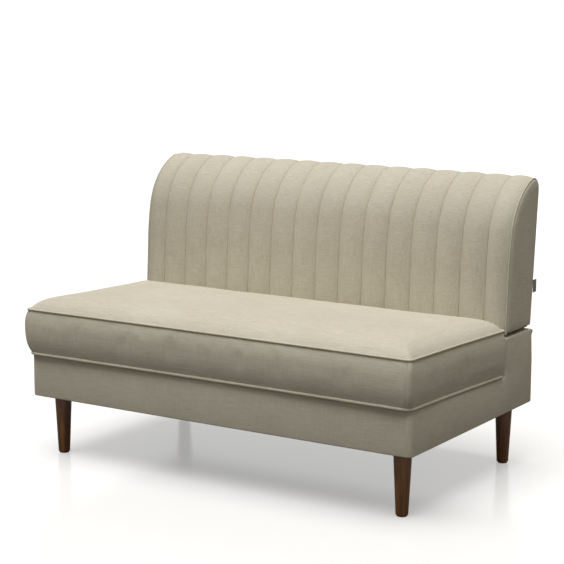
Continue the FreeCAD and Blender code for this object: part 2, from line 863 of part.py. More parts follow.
def make_back_frame():
    """Ribs, rails and boards of the back."""
    outline = rib_outline()
    end_rib = prism_x(outline, panel_half - rib_thickness, panel_half)
    half = rib_thickness / 2
    centre_rib = prism_x(outline, centre_rib_x - half, centre_rib_x + half)
    centre_rib = centre_rib.cut(cross_bolt_hole(tongue_bolt_radius + hole_clearance))
    bays = [
        (-panel_half + rib_thickness, -centre_rib_x - half),
        (-centre_rib_x + half, centre_rib_x - half),
        (centre_rib_x + half, panel_half - rib_thickness),
    ]
    z0 = back_frame_bottom
    z1 = frame_top()
    thick = back_rail_thickness
    slot = tongue_slot(hole_clearance, z0 - 1, z0 + thick + 1)
    whole = [prism_x(outline, first, last) for first, last in bays]
    far = base_rear + thick
    lower = block(-half_width, half_width, 0, far, z0, z0 + thick)
    upper = block(-half_width, half_width, 0, far, z1 - thick, z1)
    bottom_rails = [cut_all(bay.common(lower), on_both_sides(slot)) for bay in whole]
    top_rails = [bay.common(upper) for bay in whole]
    board = [
        (front_board_face(z0, 0.0), z0), (front_board_face(z0, front_board_thickness), z0),
        (front_board_face(z1, front_board_thickness), z1), (front_board_face(z1, 0.0), z1)]
    rear_inset = back_cover_thickness + rear_board_thickness
    rear_low = back_bottom + back_bottom_radius
    rear = [
        (rear_face(rear_low, rear_inset), rear_low),
        (rear_face(rear_low, back_cover_thickness), rear_low),
        (rear_face(z1, back_cover_thickness), z1), (rear_face(z1, rear_inset), z1)]
    return {
        "left_back_rib": mirror_x(end_rib),
        "right_back_rib": end_rib,
        "back_centre_ribs": group(on_both_sides(centre_rib)),
        "back_bottom_rails": group(bottom_rails),
        "back_top_rails": group(top_rails),
        "back_front_board": prism_x(board, -panel_half, panel_half),
        "back_rear_board": prism_x(rear, -panel_half, panel_half),
    }


# Lift-off fittings

def make_tongue():
    """Steel bar on the right centre rib: it reaches down into the riser."""
    bar = tongue_slot(0.0, back_bottom - tongue_below, back_bottom + tongue_above)
    edges = [edge for edge in bar.Edges
             if edge.BoundBox.ZMax < back_bottom - tongue_below + 1 and edge.BoundBox.YLength < 1]
    bar = bar.makeChamfer(tongue_thickness * 0.8, edges)
    return bar.cut(cross_bolt_hole(tongue_bolt_radius + thread_clearance))


def make_tongue_bolt():
    """Bolt through the rib into the tongue, its head on the far side of the rib."""
    start = centre_rib_x - rib_thickness / 2
    shank = Part.makeCylinder(tongue_bolt_radius, tongue_outer - start,
                              Vector(start, tongue_y, tongue_bolt_z), Vector(1, 0, 0))
    head = hexagon(bolt_head_radius, bolt_head_height)
    head.rotate(Vector(0, 0, 0), Vector(0, 1, 0), -90)
    head.translate(Vector(start, tongue_y, tongue_bolt_z))
    return shank.fuse(head)


def socket_flange(z0, z1, clearance):
    """Plate round the mouth of the right socket."""
    middle = (tongue_inner + tongue_outer) / 2
    half_x = socket_flange_width / 2 + clearance
    half_y = socket_flange_length / 2 + clearance
    return block(middle - half_x, middle + half_x, tongue_y - half_y, tongue_y + half_y, z0, z1)


def make_socket():
    """Steel pocket in the riser's top board that takes the right tongue."""
    top = riser_board_top
    outer = tongue_slot(socket_clearance + socket_wall, top - socket_length, top)
    inner = tongue_slot(socket_clearance, top - socket_length - 1, top + 1)
    flange = socket_flange(top - socket_flange_thickness, top, 0.0)
    return outer.fuse(flange).cut(inner)


def make_bumpers():
    """Rubber pads under the back that carry it on top of the riser."""
    pads = []
    for inset in bumper_insets:
        x = half_width - inset
        pad = block(x - bumper_width / 2, x + bumper_width / 2,
                    tongue_y - bumper_depth / 2, tongue_y + bumper_depth / 2,
                    riser_height, back_bottom)
        pads += on_both_sides(pad)
    return group(pads)


# Bench cushion

def cushion_ring(front_grow, rear_grow, z, radius, insets, plain):
    """Closed plan outline of the cushion at one height, with its sides drawn in.

    The front and the two sides are shallow arcs and the rear is straight. Each corner is an
    arc that is tangent to both of its sides. Half of it is built and mirrored. A plain ring
    joins the ends of the arcs by lines, for the faces inside the cover.
    """
    half = cushion_half_ring(front_grow, rear_grow, z, radius, insets)
    if plain:
        points = inner_corners(half, z)
        mirrored = [Vector(-point.x, point.y, point.z) for point in reversed(points[:-1])]
        return Part.makePolygon(points + mirrored + points[:1])
    other = [edge.mirror(Vector(0, 0, 0), Vector(1, 0, 0)) for edge in reversed(half)]
    return Part.Wire(half + other)


def inner_corners(half, z):
    """Corners inside a half outline, joined by lines that stay parallel from ring to ring."""
    rear_end = half[1].valueAt(half[1].FirstParameter)
    front_end = half[3].valueAt(half[3].LastParameter)
    side_arc = half[2]
    side = side_arc.valueAt((side_arc.FirstParameter + side_arc.LastParameter) / 2).x
    rear_cut = side - rear_end.x
    front_cut = side - front_end.x
    bow = front_end.x * math.tan(math.radians(cushion_draw_long / 2))
    return [rear_end, Vector(side, rear_end.y - rear_cut, z),
            Vector(side, front_end.y + front_cut, z), front_end,
            Vector(0, front_end.y + bow, z)]


def cushion_half_ring(front_grow, rear_grow, z, radius, insets):
    """Edges of the outline's right half, from the middle of the rear to that of the front."""
    side = half_width + front_grow - insets[0]
    front = cushion_front - front_grow + insets[1]
    rear = cushion_rear + rear_grow
    long_angle = math.radians(cushion_draw_long)
    side_angle = math.radians(cushion_draw_side)
    front_reach = radius * math.tan((math.pi / 2 + long_angle + side_angle) / 2)
    rear_reach = radius * math.tan((math.pi / 2 + side_angle) / 2)
    front_end = Vector(side - front_reach * math.cos(long_angle),
                       front + front_reach * math.sin(long_angle), z)
    side_front = Vector(side - front_reach * math.sin(side_angle),
                        front + front_reach * math.cos(side_angle), z)
    side_rear = Vector(side - rear_reach * math.sin(side_angle),
                       rear - rear_reach * math.cos(side_angle), z)
    rear_end = Vector(side - rear_reach, rear, z)
    front_middle = Vector(0, front_end.y + front_end.x * math.tan(long_angle / 2), z)
    half_side = (side_rear.y - side_front.y) / 2
    side_middle = Vector(side_front.x - half_side * math.tan(side_angle / 2),
                         side_front.y + half_side, z)

    def corner_middle(first, last, pivot):
        chord_middle = (first + last) * 0.5
        half_chord = (last - first).Length / 2
        depth = radius - math.sqrt(max(radius ** 2 - half_chord ** 2, 0.0))
        return chord_middle + (pivot - chord_middle).normalize() * depth

    quarter = Vector(front_end.x / 2, 0, z)
    quarter.y = front_middle.y - (front_middle.y - front_end.y) / 4
    rear_corner = corner_middle(side_rear, rear_end, Vector(side, rear, z))
    front_corner = corner_middle(front_end, side_front, Vector(side, front, z))
    return [
        Part.makeLine(Vector(0, rear, z), rear_end),
        Part.Arc(rear_end, rear_corner, side_rear).toShape(),
        Part.Arc(side_rear, side_middle, side_front).toShape(),
        Part.Arc(side_front, front_corner, front_end).toShape(),
        Part.Arc(front_end, quarter, front_middle).toShape(),
    ]


def bottom_insets(level):
    """How far the sides and the front stand in towards the bottom seam."""
    low = 1 - level
    return cushion_bottom_inset_side * low, cushion_bottom_inset_front * low


def band_ring(level, inset, plain):
    """Outline of the boxing band; level runs from 0 at the bottom seam to 1 at the top seam."""
    bulge = 4 * cushion_bulge * level * (1 - level)
    return cushion_ring(bulge - inset, -inset, cushion_base + level * cushion_thickness,
                        cushion_corner_radius - inset / 2, bottom_insets(level), plain)


def crown_ring(reach, rise, inset, plain):
    """Outline of the crowned top at a distance in from its seam."""
    height = seam_height + rise * (cushion_crown - inset) / cushion_crown
    radius = cushion_corner_radius + reach / 8 - inset / 2
    return cushion_ring(-reach - inset, -reach - inset, height, radius, (0.0, 0.0), plain)


def solid_between(rings):
    """Solid of flat faces between plain rings whose sides are parallel."""
    faces = [Part.Face(rings[0]), Part.Face(rings[-1])]
    for lower, upper in zip(rings, rings[1:]):
        first = [vertex.Point for vertex in lower.OrderedVertexes]
        second = [vertex.Point for vertex in upper.OrderedVertexes]
        for index, point in enumerate(first):
            ahead = (index + 1) % len(first)
            corners = [point, first[ahead], second[ahead], second[index], point]
            faces.append(Part.Face(Part.makePolygon(corners)))
    shell = Part.makeShell(faces)
    shell.sewShape()
    return Part.makeSolid(shell)


def make_band(inset):
    """Solid inside the boxing band; faces inside the cover have fewer, plain rings."""
    if inset > 0:
        return solid_between([band_ring(level, inset, True) for level in (0.0, 0.5, 1.0)])
    levels = (0.0, 0.25, 0.5, 0.75, 1.0)
    return Part.makeLoft([band_ring(level, inset, False) for level in levels], True, True)


def dome_profile(start, end, low, high, place):
    """Face under a line that rises by an arc at each end and is level between them."""
    ramp = min(crown_ramp, (end - start) * 0.45)
    rise = high - low
    radius = (ramp ** 2 + rise ** 2) / (2 * rise)
    half_angle = math.asin(ramp / radius) / 2
    across = ramp - radius * math.sin(half_angle)
    height = high - radius * (1 - math.cos(half_angle))
    foot = seam_height
    edges = [
        Part.makeLine(place(start, foot), place(start, low)),
        Part.Arc(place(start, low), place(start + across, height),
                 place(start + ramp, high)).toShape(),
        Part.makeLine(place(start + ramp, high), place(end - ramp, high)),
        Part.Arc(place(end - ramp, high), place(end - across, height),
                 place(end, low)).toShape(),
        Part.makeLine(place(end, low), place(end, foot)),
        Part.makeLine(place(end, foot), place(start, foot)),
    ]
    return Part.Face(Part.Wire(edges))


def make_crown(inset):
    """Solid inside the crowned top: it rises steeply at the seam and flattens inwards."""
    plain = inset > 0
    steps = crown_steps[::2] if plain else crown_steps
    depth = cushion_rear - cushion_front
    rings = [crown_ring(reach * depth, rise * cushion_crown, inset, plain)
             for reach, rise in steps]
    edge = solid_between(rings) if plain else Part.makeLoft(rings, True, True)
    last = rings[-1]
    box = last.BoundBox
    low = box.ZMin + crown_step
    high = seam_height + cushion_crown - inset
    side = box.XMax + crown_step
    front = box.YMin - crown_step
    rear = box.YMax + crown_step
    lengthwise = dome_profile(-side, side, low, high + crown_step,
                              lambda a, z: Vector(a, front, z))
    across = dome_profile(front, rear, low, high, lambda a, z: Vector(-side, a, z))
    dome = lengthwise.extrude(Vector(0, rear - front, 0)).common(
        across.extrude(Vector(2 * side, 0, 0)))
    dome = dome.common(Part.Face(last).extrude(Vector(0, 0, cushion_crown)))
    return edge.fuse(dome)


def make_cushion():
    """Cover panels, wadding and foam of the bench cushion."""
    cover = cushion_cover_thickness
    fill = cover + soft_gap
    core = cover + cushion_wadding_thickness
    low = cushion_base

    def above(height):
        return block(-sofa_width, sofa_width, 2 * base_front, base_rear, height,
                     seam_height + sofa_width)

    top_panel = make_crown(0.0).cut(make_crown(cover))
    boxing = make_band(0.0).cut(make_band(cover))
    bottom_panel = make_band(fill).cut(above(low + cover))
    filling = make_band(fill).fuse(make_crown(fill)).common(above(low + cover))
    foam = make_band(core).fuse(make_crown(core)).common(above(low + core))
    room = core - soft_gap
    hollow = make_band(room).fuse(make_crown(room)).common(above(low + room))
    return {
        "cushion_top_panel": rake(top_panel),
        "cushion_boxing": rake(boxing),
        "cushion_bottom_panel": rake(bottom_panel),
        "cushion_wadding": rake(filling.cut(hollow)),
        "cushion_foam": rake(foam),
    }


def make_cushion_bead(radius, level, height):
    """Piping round the cushion, with a six-sided section, against the boxing band."""
    slope = 4 * cushion_bulge / cushion_thickness
    lift = height - (cushion_base + level * cushion_thickness)
    reach = radius * math.sqrt(1 + slope ** 2) + lift * slope + soft_gap / 2

    def shell(side):
        rings = []
        for angle in (-60.0, 0.0, 60.0):
            turned = math.radians(angle)
            grow = reach + side * radius * math.cos(turned)
            rear_grow = grow - lift * slope
            rings.append(cushion_ring(grow, rear_grow, height + radius * math.sin(turned),
                                      cushion_corner_radius + grow, bottom_insets(level), False))
        return Part.makeLoft(rings, True, True)

    return rake(shell(1).cut(shell(-1)))


def make_cushion_piping():
    """Beads along the top seam and the bottom seam."""
    low_height = cushion_base + bottom_piping_height
    return (make_cushion_bead(top_piping_radius, 1.0, seam_height),
            make_cushion_bead(bottom_piping_radius, 0.0, low_height))


def make_zip():
    """Tapes, closed chain, end stops and slider on the flat rear of the cushion."""
    level = cushion_base + cushion_thickness / 2
    half = half_width - zip_inset
    back = cushion_rear
    tape_face = back + zip_tape_thickness
    chain_face = tape_face + zip_chain_thickness
    chain_half = zip_chain_width / 2
    tapes = [
        block(-half, half, back, tape_face, level, level + zip_tape_width),
        block(-half, half, back, tape_face, level - zip_tape_width, level)]
    chain_end = half - 2 * zip_stop_length
    chain = block(-chain_end, chain_end, tape_face, chain_face,
                  level - chain_half, level + chain_half)
    stop = block(chain_end, chain_end + zip_stop_length, tape_face,
                 chain_face, level - chain_half, level + chain_half)
    slider_end = chain_end - soft_gap
    gap = chain_half + slider_clearance
    shell = block(slider_end - slider_length, slider_end, tape_face + slider_clearance,
                  chain_face + slider_clearance + slider_wall,
                  level - gap - slider_wall, level + gap + slider_wall)
    upright = [edge for edge in shell.Edges if edge.BoundBox.YLength > zip_chain_thickness]
    shell = shell.makeFillet(slider_wall, upright)
    groove = block(slider_end - 2 * slider_length, slider_end + slider_length, back,
                   chain_face + slider_clearance, level - gap, level + gap)
    return {
        "zip_tapes": rake(group(tapes)),
        "zip_chain": rake(chain),
        "zip_end_stops": rake(group(on_both_sides(stop))),
        "zip_slider": rake(shell.cut(groove)),
    }


def build_base():
    """Every node of the base."""
    nodes = make_base_covers()
    board = make_side_board()
    nodes["right_side_board"] = board
    nodes["left_side_board"] = mirror_x(board)
    nodes.update(make_frame_rails())
    nodes.update(make_riser_frame())
    nodes["dust_cover"] = make_dust_cover()
    lengthwise, crosswise = make_webbing()
    nodes["webbing_lengthwise"] = lengthwise
    nodes["webbing_crosswise"] = crosswise
    nodes["deck_pad"] = make_deck_pad()
    nodes["front_legs"] = group([make_leg(-leg_x, leg_front_y), make_leg(leg_x, leg_front_y)])
    nodes["rear_legs"] = group([make_leg(-leg_x, leg_rear_y), make_leg(leg_x, leg_rear_y)])
    places = leg_places
    nodes["leg_glides"] = group([make_glide(*place) for place in places])
    nodes["corner_blocks"] = group([make_corner_block(*place) for place in places])
    nodes["leg_plates"] = group([make_leg_plate(*place) for place in places])
    nodes["leg_bolts"] = group([make_leg_bolt(*place) for place in places])
    nodes["back_sockets"] = group(on_both_sides(make_socket()))
    return nodes


def build_back():
    """Every node of the back."""
    nodes = {"back_channel_panel": make_channel_panel()}
    piping = make_back_piping()
    side = make_back_side_panel()
    nodes["right_back_piping"] = piping
    nodes["left_back_piping"] = mirror_x(piping)
    nodes["right_back_side_panel"] = side
    nodes["left_back_side_panel"] = mirror_x(side)
    nodes["back_rear_cover"] = make_back_rear_cover()
    nodes["back_bottom_cover"] = make_back_bottom_cover()
    nodes["seam_tab"] = make_seam_tab()
    nodes["back_foam"] = make_back_foam()
    nodes.update(make_back_frame())
    nodes["back_tongues"] = group(on_both_sides(make_tongue()))
    nodes["back_bumpers"] = make_bumpers()
    nodes["tongue_bolts"] = group(on_both_sides(make_tongue_bolt()))
    return nodes


def build_cushion():
    """Every node of the bench cushion."""
    nodes = make_cushion()
    top_bead, bottom_bead = make_cushion_piping()
    nodes["cushion_top_piping"] = top_bead
    nodes["cushion_bottom_piping"] = bottom_bead
    nodes.update(make_zip())
    return nodes


def main():
    """Build every node, report it and write it out."""
    nodes = build_base()
    nodes.update(build_back())
    nodes.update(build_cushion())
    os.makedirs("parts", exist_ok=True)
    for name, shape in nodes.items():
        box = shape.BoundBox
        print(f"{name}: {len(shape.Solids)} solids, valid {shape.isValid()}, "
              f"{shape.Volume / 1000:.1f} cm3, x {box.XMin:.1f} {box.XMax:.1f}, "
              f"y {box.YMin:.1f} {box.YMax:.1f}, z {box.ZMin:.1f} {box.ZMax:.1f}")
        shape.exportStep(f"parts/{name}.step")
    print(len(nodes), "nodes")


main()
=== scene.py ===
# %% [markdown]
# # An armless sofa with a channelled back
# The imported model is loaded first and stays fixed. It holds the frame boards, the webbing, the
# foam and the metal fittings. Everything soft is then modelled over it: the loose bench cushion,
# the sewn back and the base cover, with their piping. Legs, tab, zip and staples follow, then the
# finishes, the light and the camera.

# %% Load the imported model
import json
import math

import bpy
import numpy as np
from mathutils import Matrix, Vector, noise


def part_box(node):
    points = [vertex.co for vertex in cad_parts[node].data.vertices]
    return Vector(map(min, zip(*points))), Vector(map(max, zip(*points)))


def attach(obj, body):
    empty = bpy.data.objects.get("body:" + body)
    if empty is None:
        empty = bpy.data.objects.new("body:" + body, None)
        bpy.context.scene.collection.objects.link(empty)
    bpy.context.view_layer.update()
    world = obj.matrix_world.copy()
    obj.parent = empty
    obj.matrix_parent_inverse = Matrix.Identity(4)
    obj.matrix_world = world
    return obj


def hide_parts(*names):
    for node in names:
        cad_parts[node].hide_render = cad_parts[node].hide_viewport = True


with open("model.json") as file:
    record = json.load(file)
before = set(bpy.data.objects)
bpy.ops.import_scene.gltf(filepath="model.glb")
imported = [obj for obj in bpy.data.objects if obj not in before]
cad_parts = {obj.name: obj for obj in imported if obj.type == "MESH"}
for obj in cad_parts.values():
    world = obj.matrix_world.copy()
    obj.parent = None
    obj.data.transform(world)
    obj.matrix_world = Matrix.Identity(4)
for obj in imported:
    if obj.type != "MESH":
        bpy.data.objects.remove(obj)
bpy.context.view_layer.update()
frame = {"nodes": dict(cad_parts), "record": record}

nodes = frame["nodes"]
mm = 0.001

# %% [markdown]
# ## Measures of the sofa
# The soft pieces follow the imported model's measures, so each lies over the solid that it stands
# for. The deck and the cushion on it are raked: they fall a little towards the back.

# %% Measures
half_width = 600 * mm
base_front = -352.5 * mm
base_rear = 352.5 * mm
base_bottom = 170 * mm
deck_height = 288 * mm
deck_rake = math.radians(1.7)
riser_front = 175 * mm
riser_height = 378 * mm
back_bottom = 384 * mm
panel_half = 592 * mm
channel_count = 16
end_channel = 61.4 * mm
print("base", 2 * half_width, "m wide and", base_rear - base_front, "m deep")

# %% [markdown]
# ## Small helpers
# Operators act on what is selected, so each primitive is added with nothing else selected. Edges
# and faces are picked by a test of their place.

# %% Helpers to select and to change
def object_mode():
    bpy.ops.object.mode_set(mode="OBJECT")


def deselect():
    if bpy.context.object and bpy.context.object.mode != "OBJECT":
        object_mode()
    bpy.ops.object.select_all(action="DESELECT")


def activate(piece):
    """Select only this piece and make it the active one."""
    deselect()
    piece.select_set(True)
    bpy.context.view_layer.objects.active = piece


def edit_all(piece):
    """Enter edit mode with the whole piece selected."""
    activate(piece)
    bpy.ops.object.mode_set(mode="EDIT")
    bpy.ops.mesh.select_all(action="SELECT")


def named(name):
    """Name the piece that was just added and return it."""
    piece = bpy.context.object
    piece.name = name
    piece.data.name = name
    return piece


def pick(piece, kind, test):
    """Enter edit mode with only those edges or faces selected that pass the test."""
    object_mode()
    mesh = piece.data
    for item in list(mesh.vertices) + list(mesh.edges) + list(mesh.polygons):
        item.select = False
    if kind == "FACE":
        for face in mesh.polygons:
            face.select = test(face.center, face.normal)
    else:
        for edge in mesh.edges:
            first, last = (mesh.vertices[i].co for i in edge.vertices)
            edge.select = test((first + last) / 2, (last - first).normalized())
    bpy.ops.object.mode_set(mode="EDIT")
    bpy.ops.mesh.select_mode(type=kind)


def apply_place(piece):
    """Move the object's place, turn and scale into its mesh."""
    activate(piece)
    bpy.ops.object.transform_apply(location=True, rotation=True, scale=True)


def cube(name, location, scale):
    """A box with its place and size in its mesh."""
    deselect()
    bpy.ops.mesh.primitive_cube_add(size=1, location=location, scale=scale)
    piece = named(name)
    apply_place(piece)
    return piece


def extrude_up(height):
    bpy.ops.mesh.extrude_region_move(TRANSFORM_OT_translate={"value": (0, 0, height)})


def apply_modifier(piece, kind, **settings):
    """Add a modifier with its settings and apply it."""
    activate(piece)
    modifier = piece.modifiers.new(kind.title(), kind)
    for key, value in settings.items():
        setattr(modifier, key, value)
    bpy.ops.object.modifier_apply(modifier=modifier.name)


def round_edges(piece, test, width, segments):
    """Bevel the edges that pass a test of their middle and direction."""
    pick(piece, "EDGE", test)
    bpy.ops.mesh.bevel(offset=width, segments=segments, profile=0.5, affect="EDGES")
    object_mode()

# %% [markdown]
# The form of a soft piece is worked out for all its vertices at once, as a table of points. Stuffed
# cloth is never quite even, so a slow noise is laid over it. A finished piece is told which body it
# moves with, and the solids that it stands for are hidden.

# %% Helpers to shape and to finish
def read_points(piece):
    points = np.empty(len(piece.data.vertices) * 3)
    piece.data.vertices.foreach_get("co", points)
    return points.reshape(-1, 3)


def write_points(piece, points):
    piece.data.vertices.foreach_set("co", np.asarray(points, dtype=float).ravel())
    piece.data.update()


def unrest(points, size, height, seed):
    """Gentle unevenness of stuffed cloth, in metres: waves of a size, elsewhere for each seed."""
    values = np.empty(len(points))
    shift = Vector((seed * 7.3, seed * 3.1, seed * 1.7))
    for index, point in enumerate(points):
        values[index] = noise.noise(Vector(point) / size + shift)
    return values * height


def outward(piece):
    """Merge doubled vertices and turn the faces of a closed piece outward."""
    edit_all(piece)
    bpy.ops.mesh.remove_doubles(threshold=0.01 * mm)
    bpy.ops.mesh.normals_make_consistent(inside=False)
    object_mode()


def smooth(piece, degrees):
    """Shade smooth, with edges sharper than an angle left crisp."""
    activate(piece)
    bpy.ops.object.shade_smooth_by_angle(angle=math.radians(degrees))


def finish_piece(piece, body, slot, *stands_for):
    """Hand the piece over: its body and the solids it stands for. The finish's slot is not used."""
    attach(piece, body)
    if stands_for:
        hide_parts(*stands_for)
    print(piece.name, len(piece.data.vertices), "vertices on", body)

# %% [markdown]
# The sewn vertices are pinned, air pressure stands for the stuffing and gravity is off. After some
# frames the result is kept. Most of any sinking is taken back, so that the filling below stays
# covered, and no point moves further than a cap.

# %% Settling cloth
sinking_taken_back = 0.8
cloth_growth = 0.003
steps_per_frame = 3


def settle(piece, sewn, pressure, frames, cap):
    """Run a short cloth simulation on a closed cover and keep its result in the mesh."""
    before = read_points(piece)
    normals = np.empty(before.size)
    piece.data.vertices.foreach_get("normal", normals)
    normals = normals.reshape(-1, 3)
    group = piece.vertex_groups.new(name="sewn")
    group.add(np.flatnonzero(sewn).tolist(), 1.0, "REPLACE")
    activate(piece)
    cloth_modifier = piece.modifiers.new("Cloth", "CLOTH")
    settings = cloth_modifier.settings
    settings.vertex_group_mass = "sewn"
    settings.use_pressure = True
    settings.uniform_pressure_force = pressure
    settings.effector_weights.gravity = 0
    settings.shrink_min = -cloth_growth
    settings.quality = steps_per_frame
    cloth_modifier.point_cache.frame_end = frames
    for frame_number in range(1, frames + 1):
        bpy.context.scene.frame_set(frame_number)
    bpy.ops.object.modifier_apply(modifier=cloth_modifier.name)
    piece.vertex_groups.clear()
    moved = read_points(piece) - before
    sunk = np.minimum(0, (moved * normals).sum(1, keepdims=True))
    moved -= sinking_taken_back * sunk * normals
    length = np.linalg.norm(moved, axis=1, keepdims=True)
    print(piece.name, "cloth moved up to", round(float(length.max()) * 1000, 1), "mm")
    write_points(piece, before + moved * np.minimum(1, cap / np.maximum(length, 1e-9)))
    bpy.context.scene.frame_set(1)

# %% [markdown]
# ## The bench cushion
# A bench cushion is a top panel, a bottom panel and a boxing band, sewn together with piping. The
# top crowns up, the band bulges between its seams, and the seams draw in between the corners. The
# piece starts as a fine grid and is extruded row by row into a box. Each of its vertices has a
# place along, across and up the box, and those three numbers are turned into the stuffed form.

# %% Cushion measures
cushion_front = base_front - 15.5 * mm
cushion_rear = riser_front - 20.4 * mm
cushion_low = deck_height + 0.3 * mm
cushion_tall = 128 * mm
seam_height = cushion_low + cushion_tall
band_bulge = 8.6 * mm
rear_bulge = 2 * mm
top_corner = 10 * mm
low_front_corner = 12 * mm    # added to the corner's radius at the foot of the band
low_side_inset = 4 * mm
low_front_inset = 10 * mm
front_seam_draw = 5.2 * mm
side_seam_draw = 2.6 * mm
print("cushion", round(cushion_rear - cushion_front, 3), "m deep,", cushion_tall, "m from seam to seam")

# %% [markdown]
# In plan the cushion is a rectangle. Points in its corners are moved from a square onto a quarter
# circle. At the foot of the band the cloth turns in under the cushion.

# %% Plan of the cushion at any level of its band
def spread(value):
    """Closer rows towards both ends of a side, where the form turns."""
    return 0.45 * value + 0.55 * np.sin(value * math.pi / 2)


def cushion_ring(u, v, level, grow=0.0, rear_grow=0.0):
    """Plan place for u across and v along the cushion, both from -1 to 1, at a level of the band."""
    bulge = band_bulge * (1 - np.abs(2 * level - 1) ** 3.6)
    turned_in = (1 - level) ** 4
    corner = top_corner + low_front_corner * (1 - level) * (v < 0) + grow
    side = half_width + bulge + grow - low_side_inset * turned_in
    front = cushion_front - bulge - grow + low_front_inset * turned_in
    rear = cushion_rear + rear_grow + rear_bulge * level * (1 - level)
    middle = (front + rear) / 2
    deep = (rear - front) / 2
    x = side * u
    y = deep * v
    over_x = np.clip((np.abs(x) - (side - corner)) / corner, 0, 1)
    over_y = np.clip((np.abs(y) - (deep - corner)) / corner, 0, 1)
    in_corner = (over_x > 0) & (over_y > 0)
    round_x = over_x * np.sqrt(1 - over_y ** 2 / 2)
    round_y = over_y * np.sqrt(1 - over_x ** 2 / 2)
    x = np.where(in_corner, np.sign(x) * (side - corner + corner * round_x), x)
    y = np.where(in_corner, np.sign(y) * (deep - corner + corner * round_y), y)
    front_draw = front_seam_draw * (1 - u ** 2) * np.clip((1 - v) / 2, 0, 1) ** 2
    side_draw = side_seam_draw * (1 - v ** 2) * np.abs(u)
    return x - np.sign(u) * side_draw, y + middle + front_draw


def rake(points):
    """Lay what was drawn level onto the raked deck."""
    turned = np.array(points)
    across = turned[:, 1] - base_front
    up = turned[:, 2] - deck_height
    turned[:, 1] = base_front + across * math.cos(deck_rake) + up * math.sin(deck_rake)
    turned[:, 2] = deck_height - across * math.sin(deck_rake) + up * math.cos(deck_rake)
    return turned

# %% [markdown]
# The blank is a grid of 104 by 48 fields, extruded nine times: a simple box.

# %% Cushion blank
band_rows = 9
deselect()
bpy.ops.mesh.primitive_grid_add(x_subdivisions=104, y_subdivisions=48, size=2, location=(0, 0, 0))
cushion = named("seat_cushion_cover")
edit_all(cushion)
for _ in range(band_rows):
    extrude_up(1 / band_rows)
object_mode()
blank = read_points(cushion)
print("cushion blank", len(blank), "vertices", blank.min(0), blank.max(0))

# %% [markdown]
# The crown rises fast from the seam and then hardly at all, like a taut skin over foam. Its height
# follows the distance to the nearest seam. Where two seams are equally near, the distances are
# blended, or the crown would get a ridge.

# %% Crown of the top panel
shoulder_height = 17.5 * mm
shoulder_run = 14 * mm
dome_height = 23.5 * mm
dome_run = 60 * mm
diagonal_ease = 6 * mm


def crown_height(u, v):
    """Height of the top panel over its seam: steep beside the seam, slow towards the middle."""
    deep = (cushion_rear - cushion_front) / 2
    gaps = [half_width * (1 - np.abs(u)), deep * (1 + v), deep * (1 - v)]
    near = -diagonal_ease * np.log(sum(np.exp(-gap / diagonal_ease) for gap in gaps))
    near = np.clip(near, 0, None)
    shoulder = shoulder_height * (1 - np.exp(-near / shoulder_run))
    return shoulder + dome_height * (1 - np.exp(-near / dome_run))


u = spread(blank[:, 0])
v = spread(blank[:, 1])
level = blank[:, 2]
on_top = level > 0.999
on_bottom = level < 0.001
band = ~on_top & ~on_bottom
plan_x, plan_y = cushion_ring(u, v, level)
height = cushion_low + level * cushion_tall
height = np.where(on_top, height + crown_height(u, v), height)
form = np.stack([plan_x, plan_y, height], 1)
print("crown rises to", round(float(height.max() - seam_height), 4), "m over the seam")

# %% [markdown]
# The top waves slowly, though not at its seams, and so does the band. Near each front corner the
# band has an upright seam: a narrow groove.

# %% Waves and corner seams
wave_free_edge = 40 * mm
corner_seam_place = 0.9825    # share of the way from the middle to the corner
corner_seam_depth = 2 * mm
slow_waves = unrest(form, 160 * mm, 1.1 * mm, 1) + unrest(form, 45 * mm, 0.4 * mm, 2)
from_edge = np.minimum(half_width - np.abs(form[:, 0]),
                       np.minimum(form[:, 1] - cushion_front, cushion_rear - form[:, 1]))
form[:, 2] += np.where(on_top, slow_waves * np.clip(from_edge / wave_free_edge, 0, 1), 0)

at_side = np.abs(u) > 0.999
at_front = v < -0.999
at_rear = v > 0.999
band_hold = np.where(band, 4 * level * (1 - level), 0)
band_waves = unrest(form * np.array([1, 1, 0.4]), 110 * mm, 1.4 * mm, 3) * band_hold
form[:, 0] += np.where(at_side, np.sign(u) * band_waves, 0)
form[:, 1] -= np.where(at_front, band_waves, 0)
corner_seam = (np.abs(np.abs(u) - corner_seam_place) < 0.004) & at_front & band
form[:, 1] += np.where(corner_seam, corner_seam_depth, 0)
write_points(cushion, rake(form))
outward(cushion)
print("corner seams along", int(corner_seam.sum()), "vertices")

# %% [markdown]
# The bottom, the corner seams and the rim of the top panel are pinned, and the cloth settles. Then
# each face is cut in four and rounded.

# %% Settle and round the cushion
sewn = on_bottom | corner_seam | (on_top & (at_side | at_front | at_rear))
settle(cushion, sewn, pressure=1.5, frames=8, cap=1.5 * mm)
edit_all(cushion)
bpy.ops.mesh.subdivide(number_cuts=1, smoothness=0.6)
object_mode()
smooth(cushion, 50)
finish_piece(cushion, "seat_cushion", "sofa_fabric",
             "cushion_top_panel", "cushion_boxing", "cushion_bottom_panel")

# %% [markdown]
# ## Piping
# Piping is a strip of the same cloth, folded round a cord and caught in the seam. A ring of
# vertices is laid along the seam, made a curve, given a round section and made a mesh again. An
# open bead loses the edge that closes the ring.

